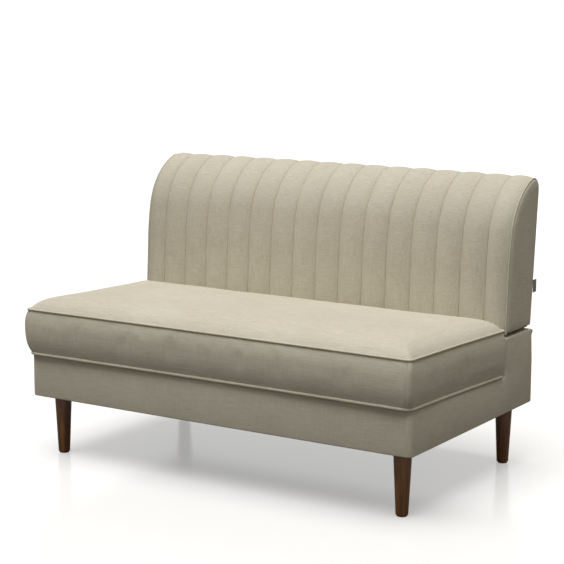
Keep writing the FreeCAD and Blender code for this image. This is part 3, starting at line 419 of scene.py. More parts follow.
# %% Piping
def piping(name, path, radius, closed):
    """A bead of cloth along a list of points."""
    deselect()
    bpy.ops.mesh.primitive_circle_add(vertices=len(path), radius=1)
    bead = named(name)
    write_points(bead, path)
    if not closed:
        closing_middle = Vector((path[0] + path[-1]) / 2)
        pick(bead, "EDGE", lambda middle, along: (middle - closing_middle).length < 0.01 * mm)
        bpy.ops.mesh.delete(type="EDGE")
        object_mode()
    activate(bead)
    bpy.ops.object.convert(target="CURVE")
    bead.data.bevel_depth = radius
    bead.data.bevel_resolution = 3
    bead.data.use_fill_caps = not closed
    bpy.ops.object.convert(target="MESH")
    outward(bead)
    smooth(bead, 60)
    return bead


def around_cushion(level, height, out, rear_out, count_long=90, count_side=44):
    """Points once round the cushion, at a level of its band and a distance out from it."""
    long_row = spread(np.linspace(-1, 1, count_long + 1))
    side_row = spread(np.linspace(-1, 1, count_side + 1))
    u_values = np.concatenate([long_row[:-1], np.ones(count_side), long_row[:0:-1],
                               -np.ones(count_side)])
    v_values = np.concatenate([-np.ones(count_long), side_row[:-1], np.ones(count_long),
                               side_row[:0:-1]])
    x, y = cushion_ring(u_values, v_values, level, out, rear_out)
    return rake(np.stack([x, y, np.full(len(x), height)], 1))

# %% [markdown]
# The upper bead lies in the seam of the crown. The lower one is thicker and is pressed out between
# the band and the deck.

# %% Piping of the cushion
top_path = around_cushion(1.0, seam_height - 0.3 * mm, 2.6 * mm, 2.6 * mm)
top_bead = piping("cushion_top_welt", top_path, 2.7 * mm, True)
finish_piece(top_bead, "seat_cushion", "sofa_fabric", "cushion_top_piping")
low_path = around_cushion(0.0, cushion_low + 4 * mm, 5.0 * mm, 3.2 * mm)
low_bead = piping("cushion_bottom_welt", low_path, 4.2 * mm, True)
finish_piece(low_bead, "seat_cushion", "sofa_fabric", "cushion_bottom_piping")

# %% [markdown]
# ## The channelled back
# The front of the back is one panel of cloth, quilted to its padding along fifteen seams. It goes
# up the front, rolls over the top and ends at the rear. A grid is laid along that path, and each of
# its points stands out by the height of the channel there. The outline is a leaning straight and
# three bends, so it is worked out by walking along it.

# %% Outline of the back from the side
back_front = riser_front + 1.5 * mm
low_length = 173 * mm
front_lean = math.radians(3.0)
rear_lean = math.radians(5.0)
# Each bend: its radius, and the lean from upright in degrees where it starts and ends.
bends = [(637 * mm, 3.0, 12.0), (180 * mm, 12.0, 72.0), (34 * mm, 72.0, 185.0)]


def outline_at(distances):
    """Points (y, z) and outward directions at distances along the back's outline."""
    places = []
    outs = []
    for distance in distances:
        lean = front_lean
        step = min(distance, low_length)
        y = back_front + math.sin(lean) * step
        z = back_bottom + math.cos(lean) * step
        left = distance - step
        for radius, first, last in bends:
            if left <= 1e-9:
                break
            turn = min(left / radius, math.radians(last - first))
            start = math.radians(first)
            lean = start + turn
            y += radius * (math.cos(start) - math.cos(lean))
            z += radius * (math.sin(lean) - math.sin(start))
            left -= radius * turn
        places.append((y, z))
        outs.append((-math.cos(lean), math.sin(lean)))
    return np.array(places), np.array(outs)


arc_length = low_length + sum(radius * math.radians(last - first) for radius, first, last in bends)
top_rear = outline_at([arc_length])[0][0]
print("outline length", round(arc_length, 4), "ends at", top_rear)

# %% [markdown]
# The blank of the panel is a grid with sixteen columns for each channel, extruded once. The columns
# crowd towards the seams, where the cloth dives in.

# %% Blank of the channelled panel
rows_up = 104
columns_each = 16
columns = columns_each * channel_count
seams = np.linspace(-panel_half + end_channel, panel_half - end_channel, channel_count - 1)
seam_x = np.concatenate([[-panel_half], seams, [panel_half]])

deselect()
bpy.ops.mesh.primitive_grid_add(x_subdivisions=columns, y_subdivisions=rows_up, size=2)
channels = named("back_channels")
edit_all(channels)
extrude_up(-1)
object_mode()
blank = read_points(channels)
across = (blank[:, 0] + 1) / 2 * columns
along = (blank[:, 1] + 1) / 2
inner = blank[:, 2] < -0.5

channel = np.clip(np.floor(across / columns_each + 1e-6), 0, channel_count - 1).astype(int)
wave = np.cos((across / columns_each - channel) * math.pi)
share = np.clip(0.5 - 0.5 * wave * (0.35 + 0.65 * np.abs(wave) ** 0.2), 0, 1)
x = seam_x[channel] + (seam_x[channel + 1] - seam_x[channel]) * share
distance = along * arc_length
place, out = outline_at(distance)
print("panel blank", len(blank), "vertices, seams", round(float(seams[1] - seams[0]), 4), "m apart")

# %% [markdown]
# Each channel is fullest in its middle, and it flattens as it rolls over the top to the rear. The
# seams aren't perfectly straight, since they are sewn over soft padding, and small puckers cross
# them. At its sides and along its foot the panel turns in.

# %% Relief of the channels
channel_height = 9.2 * mm
seam_depth = 1.3 * mm
back_crown = 5 * mm
panel_thickness = 17 * mm
top_from = 300 * mm
top_run = 170 * mm
rear_from = 430 * mm
lost_over_top = 0.30
lost_to_rear = 0.52
side_turn = 22 * mm
side_turn_depth = 1.5 * mm
foot_turn = 9 * mm
foot_turn_depth = 7 * mm


def eased(value):
    """From 0 to 1 with a level start and end."""
    return value ** 2 * (3 - 2 * value)


over_top = eased(np.clip((distance - top_from) / top_run, 0, 1))
to_rear = eased(np.clip((distance - rear_from) / (arc_length - rear_from), 0, 1))
fade = 1 - lost_over_top * over_top - lost_to_rear * to_rear
side = np.abs(2 * share - 1)
profile = (1 - side ** 2) ** 0.8
interior = np.abs(x) < panel_half - 1 * mm
level_rows = np.zeros(len(x))
sway = unrest(np.stack([channel * 0.9 + 3.0, along * 2.2, level_rows], 1), 1.0, 1.0 * mm, 4)
pucker = unrest(np.stack([x * 0.5, distance, level_rows], 1), 20 * mm, 0.45 * mm, 5) * side ** 6
fullness = unrest(np.stack([channel * 0.7, distance * 5.0, level_rows], 1), 1.0, 0.9 * mm, 6)
fullness *= profile
rise = back_crown * (1 - (x / panel_half) ** 2) * fade + channel_height * profile * fade
rise -= seam_depth * (side > 0.99) * interior
x = x + np.where(interior, sway * 0.6, 0)
at_sides = 1 - np.clip((panel_half - np.abs(x)) / side_turn, 0, 1)
at_foot = np.clip(1 - distance / foot_turn, 0, 1)
turned_in = side_turn_depth * at_sides + foot_turn_depth * (1 - np.sqrt(1 - at_foot ** 2))
rise = np.where(inner, -panel_thickness, rise + pucker + fullness - turned_in)
panel = np.stack([x, place[:, 0] + out[:, 0] * rise, place[:, 1] + out[:, 1] * rise], 1)
write_points(channels, panel)
outward(channels)
print("channels rise up to", round(float(rise.max()), 4), "m over the outline")

# %% [markdown]
# The inner skin, the seams and both ends are sewn down. The rest settles under a little pressure.

# %% Settle the channels
stitched = inner | (side > 0.985) | (distance < 1 * mm) | (distance > arc_length - 1 * mm)
settle(channels, stitched, pressure=1.6, frames=7, cap=2.0 * mm)
smooth(channels, 60)
finish_piece(channels, "backrest", "sofa_fabric", "back_channel_panel")

# %% [markdown]
# ## Side panels, rear and piping of the back
# The side panels are cut to the outline of the back, so rings of points are laid along it.

# %% Rings round the side of the back
low_rear_corner = 14 * mm
under_points = 20


def outline_ring(inset, count=140):
    """Closed ring of points (y, z) round the side of the back, a distance inside its outline."""
    low = back_bottom + inset
    start = inset * (1 + math.sin(front_lean)) / math.cos(front_lean)
    places, outs = outline_at(np.linspace(start, arc_length, count))
    front = places - outs * inset
    corner_radius = max(low_rear_corner - inset, 0.5 * mm)
    top_y, top_z = front[-1]
    drop = top_z - low - corner_radius * (1 - math.sin(rear_lean))
    down = np.linspace(0, drop, 31)[1:]
    rear = np.stack([top_y - math.tan(rear_lean) * down, top_z - down], 1)
    headings = math.pi + np.linspace(rear_lean, math.pi / 2, 9)[1:]
    corner = np.stack([
        rear[-1][0] + corner_radius * (math.cos(math.pi + rear_lean) - np.cos(headings)),
        rear[-1][1] + corner_radius * (np.sin(headings) - math.sin(math.pi + rear_lean))], 1)
    share = np.linspace(0, 1, under_points + 2)[1:-1, None]
    under = corner[-1] + (front[0] - corner[-1]) * share
    return np.concatenate([front, rear, corner, under])


print("side ring", len(outline_ring(0)), "points")

# %% [markdown]
# The first two rings give the panel's thickness. The others round its edge.

# %% Side panels of the back
side_rings = [(5.2, 590), (5.0, 596.5), (5.6, 598.0), (7.4, 599.2), (11, 600.4), (17, 601.4),
              (26, 602.0), (33.4, 602.2)]    # inset and distance from the middle, in millimetres


def side_panel(name, sign, stands_for):
    """A filled circle, extruded ring by ring and laid along the outline."""
    count = len(outline_ring(0))
    deselect()
    bpy.ops.mesh.primitive_circle_add(vertices=count, radius=1, fill_type="NGON")
    piece = named(name)
    edit_all(piece)
    for _ in side_rings[1:]:
        extrude_up(1)
    object_mode()
    points = read_points(piece)
    which_ring = np.rint(points[:, 2]).astype(int)
    turn = np.mod(np.arctan2(points[:, 1], points[:, 0]), 2 * math.pi)
    which_place = np.rint(turn / (2 * math.pi) * count).astype(int) % count
    for index, (inset, from_middle) in enumerate(side_rings):
        ring = outline_ring(inset * mm)
        chosen = which_ring == index
        points[chosen, 0] = sign * from_middle * mm
        points[chosen, 1:] = ring[which_place[chosen]]
    write_points(piece, points)
    outward(piece)
    smooth(piece, 50)
    finish_piece(piece, "backrest", "sofa_fabric", stands_for)
    return piece


right_side = side_panel("back_side_right", 1, "right_back_side_panel")
left_side = side_panel("back_side_left", -1, "left_back_side_panel")

# %% [markdown]
# A fine bead runs in each side seam: up the front, over the top and down the rear.

# %% Piping of the back
welt_radius = 2.6 * mm
welt_inset = 2.4 * mm
welt_from_middle = 594.6 * mm
left_out = under_points + 4    # the bead ends half way round the lower corner
for sign, name, stands_for in [(1, "back_welt_right", "right_back_piping"),
                               (-1, "back_welt_left", "left_back_piping")]:
    ring = outline_ring(welt_inset)
    path = np.stack([np.full(len(ring), sign * welt_from_middle), ring[:, 0], ring[:, 1]], 1)
    bead = piping(name, path[:-left_out], welt_radius, False)
    finish_piece(bead, "backrest", "sofa_fabric", stands_for)

# %% [markdown]
# The rear is one plain panel, stretched over a thin board. It starts as a cube, is cut into rows and
# columns, gets a slight fullness between its edges and is tucked in at its foot.

# %% Rear panel of the back
rear_thickness = 3.2 * mm
rear_fullness = 1.2 * mm
seam_allowance = 2 * mm
tuck_height = 14 * mm
tuck_depth = 13 * mm
rear_panel = cube("back_rear", (0, 0, 0), (1, 1, 1))
edit_all(rear_panel)
bpy.ops.mesh.subdivide(number_cuts=23)
object_mode()
unit = read_points(rear_panel) + 0.5
tall = top_rear[1] - back_bottom - seam_allowance
z = back_bottom + seam_allowance + unit[:, 2] * tall
face = top_rear[0] - (top_rear[1] - z) * math.tan(rear_lean)
middle = (1 - (2 * unit[:, 0] - 1) ** 4) * (1 - (2 * unit[:, 2] - 1) ** 4)
x = (unit[:, 0] * 2 - 1) * (panel_half - 1 * mm)
fold = np.clip(1 - (z - back_bottom) / tuck_height, 0, 1)
tuck = tuck_depth * (1 - np.sqrt(np.clip(1 - fold ** 2, 0, 1)))
y = face - rear_thickness * (1 - unit[:, 1]) + rear_fullness * middle * unit[:, 1] - tuck
y += unrest(np.stack([x, z * 0 + 1, z], 1), 200 * mm, 0.8 * mm, 7) * middle * unit[:, 1]
write_points(rear_panel, np.stack([x, y, z], 1))
outward(rear_panel)
smooth(rear_panel, 50)
finish_piece(rear_panel, "backrest", "sofa_fabric", "back_rear_cover")

# %% [markdown]
# ## The base
# The base is a low deck with a raised block behind it. It starts as one cube, gets a cut across its
# top, and the part behind the cut is pulled up into the block. A second cut runs round the block at
# the deck. The deck falls a little to the rear, and the block's rear leans in at the top.

# %% Base cover
upper_cut = 290 * mm
block_lean = 8 * mm
on_plane = 0.001 * mm


def deck_at(y):
    return deck_height - (y - base_front) * math.tan(deck_rake)


base = cube("base_cover", (0, 0, (base_bottom + deck_height) / 2),
            (2 * half_width, base_rear - base_front, deck_height - base_bottom))
edit_all(base)
bpy.ops.mesh.bisect(plane_co=(0, riser_front, 0), plane_no=(0, 1, 0))
pick(base, "FACE", lambda middle, normal: normal.z > 0.9 and middle.y > riser_front)
extrude_up(riser_height - deck_height)
bpy.ops.mesh.select_all(action="SELECT")
bpy.ops.mesh.bisect(plane_co=(0, 0, upper_cut), plane_no=(0, 0, 1))
object_mode()
shell = read_points(base)
on_deck = (np.abs(shell[:, 2] - deck_height) < on_plane) & (shell[:, 1] < riser_front + on_plane)
shell[:, 2] = np.where(on_deck, deck_at(shell[:, 1]), shell[:, 2])
leaning = (shell[:, 2] > riser_height - on_plane) & (shell[:, 1] > base_rear - on_plane)
shell[:, 1] = np.where(leaning, shell[:, 1] - block_lean, shell[:, 1])
write_points(base, shell)
outward(base)
print("base shell", len(base.data.vertices), "vertices")

# %% [markdown]
# The edges are rounded like cloth over fleece: the block's upright front corners, its top rear edge,
# the upright corners of the base, the edges of the deck and the block's top, and the lower edge.
# Each test looks at the middle m and the direction a of an edge.

# %% Round the base cover
near = 1 * mm
top_z = riser_height - near


def at_end(m):
    return abs(m.x) > half_width - near


def upright(a):
    return abs(a.z) > 0.85


def on_upper_edge(m):
    on_height = m.z > top_z or (m.z > 265 * mm and m.y < riser_front - near)
    on_border = (abs(m.x) > half_width - 14 * mm or m.y < base_front + 14 * mm
                 or abs(m.y - riser_front) < near)
    return on_height and on_border and m.y < base_rear - 25 * mm


round_edges(base, lambda m, a: upright(a) and at_end(m) and abs(m.y - riser_front) < near
            and m.z > 270 * mm, 8 * mm, 4)
round_edges(base, lambda m, a: m.z > top_z and m.y > base_rear - 10 * mm and abs(a.x) > 0.9, 20 * mm, 8)
round_edges(base, lambda m, a: upright(a) and at_end(m)
            and (m.y < base_front + near or m.y > base_rear - 40 * mm), 16 * mm, 7)
round_edges(base, lambda m, a: on_upper_edge(m) and abs(a.z) < 0.5, 6 * mm, 4)
round_edges(base, lambda m, a: m.z < base_bottom + near, 4 * mm, 4)
print("base cover", len(base.data.vertices), "vertices")

# %% [markdown]
# The block's top has two slots for the steel tongues of the back. A cube a little larger than
# each tongue is taken out of the cover.

# %% Slots for the tongues
for sign in (1, -1):
    cutter = cube("slot_cutter", (sign * 391.5 * mm, 282.5 * mm, riser_height),
                  (9 * mm, 44 * mm, 160 * mm))
    apply_modifier(base, "BOOLEAN", operation="DIFFERENCE", object=cutter, solver="EXACT")
    bpy.data.objects.remove(cutter)
outward(base)
smooth(base, 40)
finish_piece(base, "root", "sofa_fabric", "base_front_cover", "base_left_cover",
             "base_right_cover", "base_rear_cover", "deck_cover", "riser_cover")

# %% [markdown]
# ## Legs and glides
# The legs are turned from solid wood: round, tapered, with a barely broken edge at the top and
# the foot. Each stands on a small dark glide. One of each is made as a pattern.

# %% Patterns of leg and glide
glide_height = 4 * mm
deselect()
bpy.ops.mesh.primitive_cone_add(vertices=96, radius1=16 * mm, radius2=24 * mm,
                                depth=base_bottom - glide_height,
                                location=(0, 0, (base_bottom + glide_height) / 2))
leg = named("leg_pattern")
apply_place(leg)
round_edges(leg, lambda m, a: m.z > base_bottom - near or m.z < glide_height + near, 0.8 * mm, 3)
deselect()
bpy.ops.mesh.primitive_cylinder_add(vertices=64, radius=13 * mm, depth=glide_height,
                                    location=(0, 0, glide_height / 2))
glide = named("glide_pattern")
apply_place(glide)
round_edges(glide, lambda m, a: m.z < near, 1.2 * mm, 3)
print("leg pattern", leg.dimensions[:], "glide pattern", glide.dimensions[:])

# %% [markdown]
# The mesh is copied with the object, because the place of each copy goes into its mesh.

# %% Legs and glides in place
leg_places = [(-542, -287.5), (542, -287.5), (-542, 291.5), (542, 291.5)]    # millimetres
leg_names = ["leg_front_left", "leg_front_right", "leg_rear_left", "leg_rear_right"]


def copies(pattern, names, places, degrees):
    """Copies of a pattern, each with its own mesh and its place in that mesh."""
    made = []
    for name, (x, y) in zip(names, places):
        piece = pattern.copy()
        piece.data = pattern.data.copy()
        piece.name = name
        piece.data.name = name
        bpy.context.collection.objects.link(piece)
        piece.data.transform(Matrix.Translation((x * mm, y * mm, 0)))
        smooth(piece, degrees)
        made.append(piece)
    bpy.data.objects.remove(pattern)
    return made


legs = copies(leg, leg_names, leg_places, 30)
for piece, stands_for in zip(legs, ["front_legs", "front_legs", "rear_legs", "rear_legs"]):
    finish_piece(piece, "root", "walnut_stained_wood", stands_for)
glides = copies(glide, [name.replace("leg", "glide") for name in leg_names], leg_places, 30)
for piece in glides:
    finish_piece(piece, "root", "glide_plastic", "leg_glides")

# %% [markdown]
# ## Small parts
# A folded fabric tab is caught in the rear right seam of the back. It leans a little and is pinched
# where it enters the seam.

# %% Seam tab
low, high = map(Vector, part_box("seam_tab"))
centre = (low + high) / 2
tab = cube("folded_tab", centre, high - low)
edit_all(tab)
bpy.ops.mesh.subdivide(number_cuts=9)
object_mode()
sheet = read_points(tab)
back_share = (sheet[:, 1] - low.y) / (high.y - low.y)
pinch = np.where(back_share > 0.85, 0.75 + 0.25 * np.cos((back_share - 0.85) / 0.15 * 1.3), 1.0)
sheet[:, 0] = centre.x + (sheet[:, 0] - centre.x) * pinch - 1.2 * mm * back_share ** 2
write_points(tab, sheet)
outward(tab)
smooth(tab, 60)
finish_piece(tab, "backrest", "tab_fabric", "seam_tab")

# %% [markdown]
# The zip's coil is one short slanted rod, repeated by an array. The slider is a small block with a
# broken rim and a sunk face.

# %% Zip coil and slider
coil_pitch = 2.4 * mm
low, high = map(Vector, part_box("zip_chain"))
deselect()
bpy.ops.mesh.primitive_cylinder_add(vertices=6, radius=0.8 * mm, depth=4.4 * mm,
                                    location=(0, 0, 0), rotation=(0, 0.18, 0))
tooth = named("zip_coil")
apply_place(tooth)
apply_modifier(tooth, "ARRAY", count=int((high.x - low.x) / coil_pitch), use_relative_offset=False,
               use_constant_offset=True, constant_offset_displace=(coil_pitch, 0, 0))
coil_start = (low.x + coil_pitch / 2, (low.y + high.y) / 2, (low.z + high.z) / 2)
tooth.data.transform(Matrix.Translation(coil_start))
smooth(tooth, 50)
finish_piece(tooth, "seat_cushion", "zip_plastic", "zip_chain")

low, high = map(Vector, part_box("zip_slider"))
slider_middle = (low + high) / 2
slider = cube("zip_slider_body", slider_middle, high - low)
round_edges(slider, lambda m, a: m.y > high.y - 0.1 * mm, 1.0 * mm, 3)
pick(slider, "FACE", lambda middle, normal: normal.y > 0.9 and abs(middle.z - slider_middle.z) < near)
bpy.ops.mesh.inset(thickness=1.6 * mm, depth=0.4 * mm)
object_mode()
smooth(slider, 40)
finish_piece(slider, "zip_slider", "zip_metal", "zip_slider")

# %% [markdown]
# Staples hold the dust cloth under the base along all four sides. Each is turned a little.

# %% Staples under the base
staple_edge = 12 * mm
staple_end = 60 * mm
low, high = map(Vector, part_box("dust_cover"))
staple = cube("staple_pattern", (0, 0, low.z - 0.2 * mm), (11 * mm, 1.1 * mm, 0.8 * mm))
round_edges(staple, lambda m, a: abs(m.x) > 5 * mm, 0.3 * mm, 1)
spots = []
for x in np.arange(low.x + staple_end, high.x - staple_end + near, 48 * mm):
    spots += [(x, low.y + staple_edge, 0.0), (x, high.y - staple_edge, 0.0)]
for y in np.arange(low.y + staple_end, high.y - staple_end + near, 52 * mm):
    spots += [(low.x + staple_edge, y, 90.0), (high.x - staple_edge, y, 90.0)]
deselect()
for index, (x, y, turn) in enumerate(spots):
    copy = staple.copy()
    copy.data = staple.data.copy()
    bpy.context.collection.objects.link(copy)
    lay = turn + 9 * math.sin(index * 2.4)
    copy.data.transform(Matrix.Translation((x, y, 0)) @ Matrix.Rotation(math.radians(lay), 4, "Z"))
    copy.select_set(True)
    bpy.context.view_layer.objects.active = copy
bpy.ops.object.join()
staples = named("dust_cloth_staples")
bpy.data.objects.remove(staple)
finish_piece(staples, "root", "zinc_steel")

# %% [markdown]
# ## Finishes
# Colours are written as sRGB hex values and turned to linear. Patterns lie on object coordinates
# and are sized from real measures. One small function adds a node with its settings and links.

# %% Node helpers
def colour(hex_value):
    """sRGB hex to linear, with full alpha."""
    parts = [int(hex_value[i:i + 2], 16) / 255 for i in (1, 3, 5)]
    linear = [p / 12.92 if p <= 0.04045 else ((p + 0.055) / 1.055) ** 2.4 for p in parts]
    return (*linear, 1.0)


def start_material(name, base, rough, sheen=0.0):
    """A new material with its shader's plain values set."""
    material = bpy.data.materials.new(name)
    material.use_nodes = True
    tree = material.node_tree
    shader = tree.nodes["Principled BSDF"]
    shader.inputs["Base Color"].default_value = colour(base)
    shader.inputs["Roughness"].default_value = rough
    shader.inputs["Sheen Weight"].default_value = sheen
    return material, tree, shader


def add(tree, kind, links=(), **settings):
    """Add a node, set its properties or inputs, and link (input name, source socket) pairs."""
    node = tree.nodes.new("ShaderNode" + kind)
    for key, value in settings.items():
        if hasattr(node, key):
            setattr(node, key, value)
        else:
            node.inputs[key.replace("_", " ")].default_value = value
    for key, source in links:
        tree.links.new(source, node.inputs[key])
    return node


def calculate(tree, operation, *values):
    """Math node on sockets or plain numbers; gives its result."""
    node = add(tree, "Math", operation=operation)
    for socket, value in zip(node.inputs, values):
        if isinstance(value, float):
            socket.default_value = value
        else:
            tree.links.new(value, socket)
    return node.outputs[0]


def streaks(tree, place, stretch, **settings):
    """Noise on stretched coordinates."""
    mapped = add(tree, "Mapping", [("Vector", place)], Scale=stretch)
    return add(tree, "TexNoise", [("Vector", mapped.outputs[0])], **settings).outputs["Fac"]


def blend(tree, first, second, share):
    """Mix two patterns; share is the second one's."""
    return add(tree, "Mix", [("A", first), ("B", second)], data_type="FLOAT", Factor=share).outputs[0]


def tint(tree, shader, pattern, stops):
    """Colour the surface by a ramp with (place, hex) stops."""
    node = add(tree, "ValToRGB", [("Fac", pattern)])
    elements = node.color_ramp.elements
    while len(elements) < len(stops):
        elements.new(0.5)
    for element, (place, hex_value) in zip(elements, stops):
        element.position = place
        element.color = colour(hex_value)
    tree.links.new(node.outputs[0], shader.inputs["Base Color"])


def dent(tree, shader, pattern, strength, distance):
    """Bump the surface; a further call adds to what is there."""
    below = [("Normal", link.from_socket) for link in shader.inputs["Normal"].links]
    node = add(tree, "Bump", [("Height", pattern)] + below, Strength=strength, Distance=distance)
    tree.links.new(node.outputs[0], shader.inputs["Normal"])

# %% [markdown]
# The cover is a linen-look polyester in plain weave. Its yarns are spun unevenly, so some are
# thicker and paler for a few centimetres: the slubs. Two sets of fine waves cross as warp and
# weft, 1.3 mm from yarn to yarn, coarser than the real 0.6 mm so that it shows. A noise stretched
# to 45 mm along a yarn and 2.4 mm across makes the slubs, and a slow one shades whole areas. The
# nap of the yarn catches light at grazing angles, which is the sheen.

# %% Linen-look cloth
# The scale of a noise is the number of its waves in a metre.
yarn_wander = 0.6 * mm
slub_along = 22.0
slub_across = 420.0
slub_stretch = {"X": (slub_along, slub_across, slub_across),
                "Y": (slub_across, slub_along, slub_across),
                "Z": (slub_across, slub_across, slub_along)}


def cloth(name, dark, middle, light, axis_across, axis_along, yarn=1.3, depth=0.35):
    """Plain weave seen on a surface that runs along two axes of the object."""
    material, tree, shader = start_material(name, middle, 0.92, 0.06)
    shader.inputs["Sheen Roughness"].default_value = 0.55
    shader.inputs["Sheen Tint"].default_value = colour("#EFE9DC")
    shader.inputs["Specular IOR Level"].default_value = 0.25
    place = add(tree, "TexCoord").outputs["Object"]
    parts = add(tree, "SeparateXYZ", [("Vector", place)])
    per_yarn = math.pi * 1000 / yarn
    threads = []
    slubs = []
    for axis in (axis_across, axis_along):
        fine = add(tree, "TexNoise", [("Vector", place)], Scale=130.0, Detail=1.0)
        wander = calculate(tree, "MULTIPLY", fine.outputs["Fac"], yarn_wander)
        shifted = calculate(tree, "ADD", parts.outputs[axis], wander)
        threads.append(calculate(tree, "SINE", calculate(tree, "MULTIPLY", shifted, per_yarn)))
        slubs.append(streaks(tree, place, slub_stretch[axis], Scale=1.0, Detail=3.0, Roughness=0.6))
    weave = calculate(tree, "MULTIPLY", *threads)
    slub = blend(tree, *slubs, 0.42)
    slow = add(tree, "TexNoise", [("Vector", place)], Scale=6.0, Detail=3.0)
    tone = blend(tree, slub, slow.outputs["Fac"], 0.16)
    tint(tree, shader, tone, [(0.34, dark), (0.50, middle), (0.66, light)])
    dent(tree, shader, calculate(tree, "ADD", weave, slub), depth, 0.4 * mm)
    sag = add(tree, "TexNoise", [("Vector", place)], Scale=14.0, Detail=2.0)
    dent(tree, shader, sag.outputs["Fac"], 0.5, 1.2 * mm)
    return material


linen_tones = ("#C5BEAC", "#D4CEBD", "#E1DCCC")
linen = cloth("linen_look_cloth_upright", *linen_tones, "X", "Z")
linen_flat = cloth("linen_look_cloth_level", *linen_tones, "X", "Y")
linen_side = cloth("linen_look_cloth_side", *linen_tones, "Y", "Z")
print("cloths:", linen.name, linen_flat.name, linen_side.name)

# %% [markdown]
# The legs are beech, stained walnut brown under a thin satin coat, and the grain runs up the leg.
# The frame is bare, planed pine and birch plywood.

# %% Walnut stained beech, pine and plywood
def wood(name, dark, middle, light, rough, grain_axis, band=26.0, coat=0.0):
    """Wood with bands and fine lines along one axis; band is how often they change across it."""
    material, tree, shader = start_material(name, middle, rough)
    shader.inputs["Coat Weight"].default_value = coat
    shader.inputs["Coat Roughness"].default_value = 0.25
    place = add(tree, "TexCoord").outputs["Object"]
    stretch = {"X": (1.2, band, band), "Y": (band, 1.2, band), "Z": (band, band, 1.2)}[grain_axis]
    fine_stretch = tuple(value * 9 for value in stretch)
    bands = streaks(tree, place, stretch, Scale=1.6, Detail=5.0, Distortion=0.7)
    fine = streaks(tree, place, fine_stretch, Scale=1.4, Detail=4.0)
    tint(tree, shader, blend(tree, bands, fine, 0.35), [(0.32, dark), (0.52, middle), (0.70, light)])
    gloss = add(tree, "MapRange", [("Value", fine)], To_Min=rough - 0.06, To_Max=rough + 0.10)
    tree.links.new(gloss.outputs[0], shader.inputs["Roughness"])
    dent(tree, shader, fine, 0.18, 0.3 * mm)
    return material


walnut = wood("walnut_stained_beech", "#52331B", "#855832", "#A87644", 0.36, "Z", 60.0, 0.25)
pine = wood("planed_pine", "#C79C63", "#DDBB86", "#EBD3A8", 0.6, "X", 40.0)
plywood = wood("birch_plywood", "#B58E60", "#D2B083", "#E4CBA2", 0.62, "Y", 34.0)
print("woods:", walnut.name, pine.name, plywood.name)

# %% [markdown]
# The unseen parts have finishes of their own: open-cell foam, fibre wadding, ribbed elastic webbing,
# black non-woven dust cloth, zinc plated steel, moulded rubber and plastic. One fine noise tints
# and dents each, with cells as large as the real pores or fibres.

# %% Finishes of the inner parts
def speckled(name, dark, middle, light, rough, cell_mm, depth, metallic=0.0, sheen=0.0,
             stretch=(1, 1, 1)):
    """A material with one fine pattern that tints and dents it."""
    material, tree, shader = start_material(name, middle, rough, sheen)
    shader.inputs["Metallic"].default_value = metallic
    place = add(tree, "TexCoord").outputs["Object"]
    cells = streaks(tree, place, stretch, Scale=1000 / cell_mm, Detail=2.0)
    tint(tree, shader, cells, [(0.36, dark), (0.5, middle), (0.64, light)])
    dent(tree, shader, cells, depth, 0.5 * mm)
    return material


foam = speckled("open_cell_foam", "#D8CCA2", "#E8DDB6", "#F2E9CB", 0.95, 3.0, 0.6)
wadding = speckled("fibre_wadding", "#DCDCD8", "#EBEBE8", "#F6F6F4", 0.98, 6.0, 0.5, sheen=0.2)
dust_cloth = speckled("black_non_woven", "#0D0D0D", "#171717", "#262626", 0.93, 2.0, 0.5)
webbing_tones = ("#1B1C1E", "#2A2B2E", "#45464A")
webbing_long = speckled("elastic_webbing_long", *webbing_tones, 0.85, 60.0, 0.6, stretch=(18, 1, 1))
webbing_cross = speckled("elastic_webbing_cross", *webbing_tones, 0.85, 60.0, 0.6, stretch=(1, 18, 1))
zinc = speckled("zinc_plated_steel", "#8E9093", "#A9ABAE", "#BFC1C3", 0.38, 9.0, 0.08, metallic=1.0)
rubber = speckled("black_rubber", "#0C0C0C", "#131313", "#1C1C1C", 0.8, 1.5, 0.25)
glide_plastic = speckled("dark_polyethylene", "#0D0B0A", "#15110F", "#201B18", 0.5, 1.5, 0.15)
zip_tape = cloth("woven_zip_tape", "#9A937F", "#AAA38F", "#BBB4A0", "X", "Z", 0.9, 0.3)
zip_plastic = speckled("nylon_coil", "#8E8776", "#A19A88", "#B2AB99", 0.45, 1.0, 0.1)
zip_metal = speckled("painted_zinc_die_casting", "#7E7869", "#8F8979", "#A19B8A", 0.4, 2.0, 0.1)
tab_cloth = cloth("tab_tape", "#8D8F78", "#9C9E86", "#AEB09A", "Y", "Z", 0.9, 0.3)
print(len(bpy.data.materials), "materials")

# %% [markdown]
# The weave has to run along each face, so level, upright and side faces get a cloth of their own.

# %% Give each piece its finish
def dress(piece, material):
    piece.data.materials.clear()
    piece.data.materials.append(material)


def dress_by_facing(piece):
    """Cloth that runs level on top, upright at the front and rear, and along Y at the sides."""
    piece.data.materials.clear()
    for material in (linen, linen_flat, linen_side):
        piece.data.materials.append(material)
    for face in piece.data.polygons:
        facing = face.normal
        if abs(facing.z) > 0.6:
            face.material_index = 1
        elif abs(facing.x) > 0.75:
            face.material_index = 2
        else:
            face.material_index = 0


large_pieces = (cushion, base, channels, rear_panel, right_side, left_side)
for piece in large_pieces:
    dress_by_facing(piece)
for name in ("cushion_top_welt", "cushion_bottom_welt", "back_welt_right", "back_welt_left"):
    dress(bpy.data.objects[name], linen)
for piece in legs:
    dress(piece, walnut)
for piece in glides:
    dress(piece, glide_plastic)
dress(tab, tab_cloth)
dress(tooth, zip_plastic)
dress(slider, zip_metal)
dress(staples, zinc)
print("cloth by facing on", len(large_pieces), "pieces")

# %% [markdown]
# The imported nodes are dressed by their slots. The crosswise webbing has its ribs the other way.

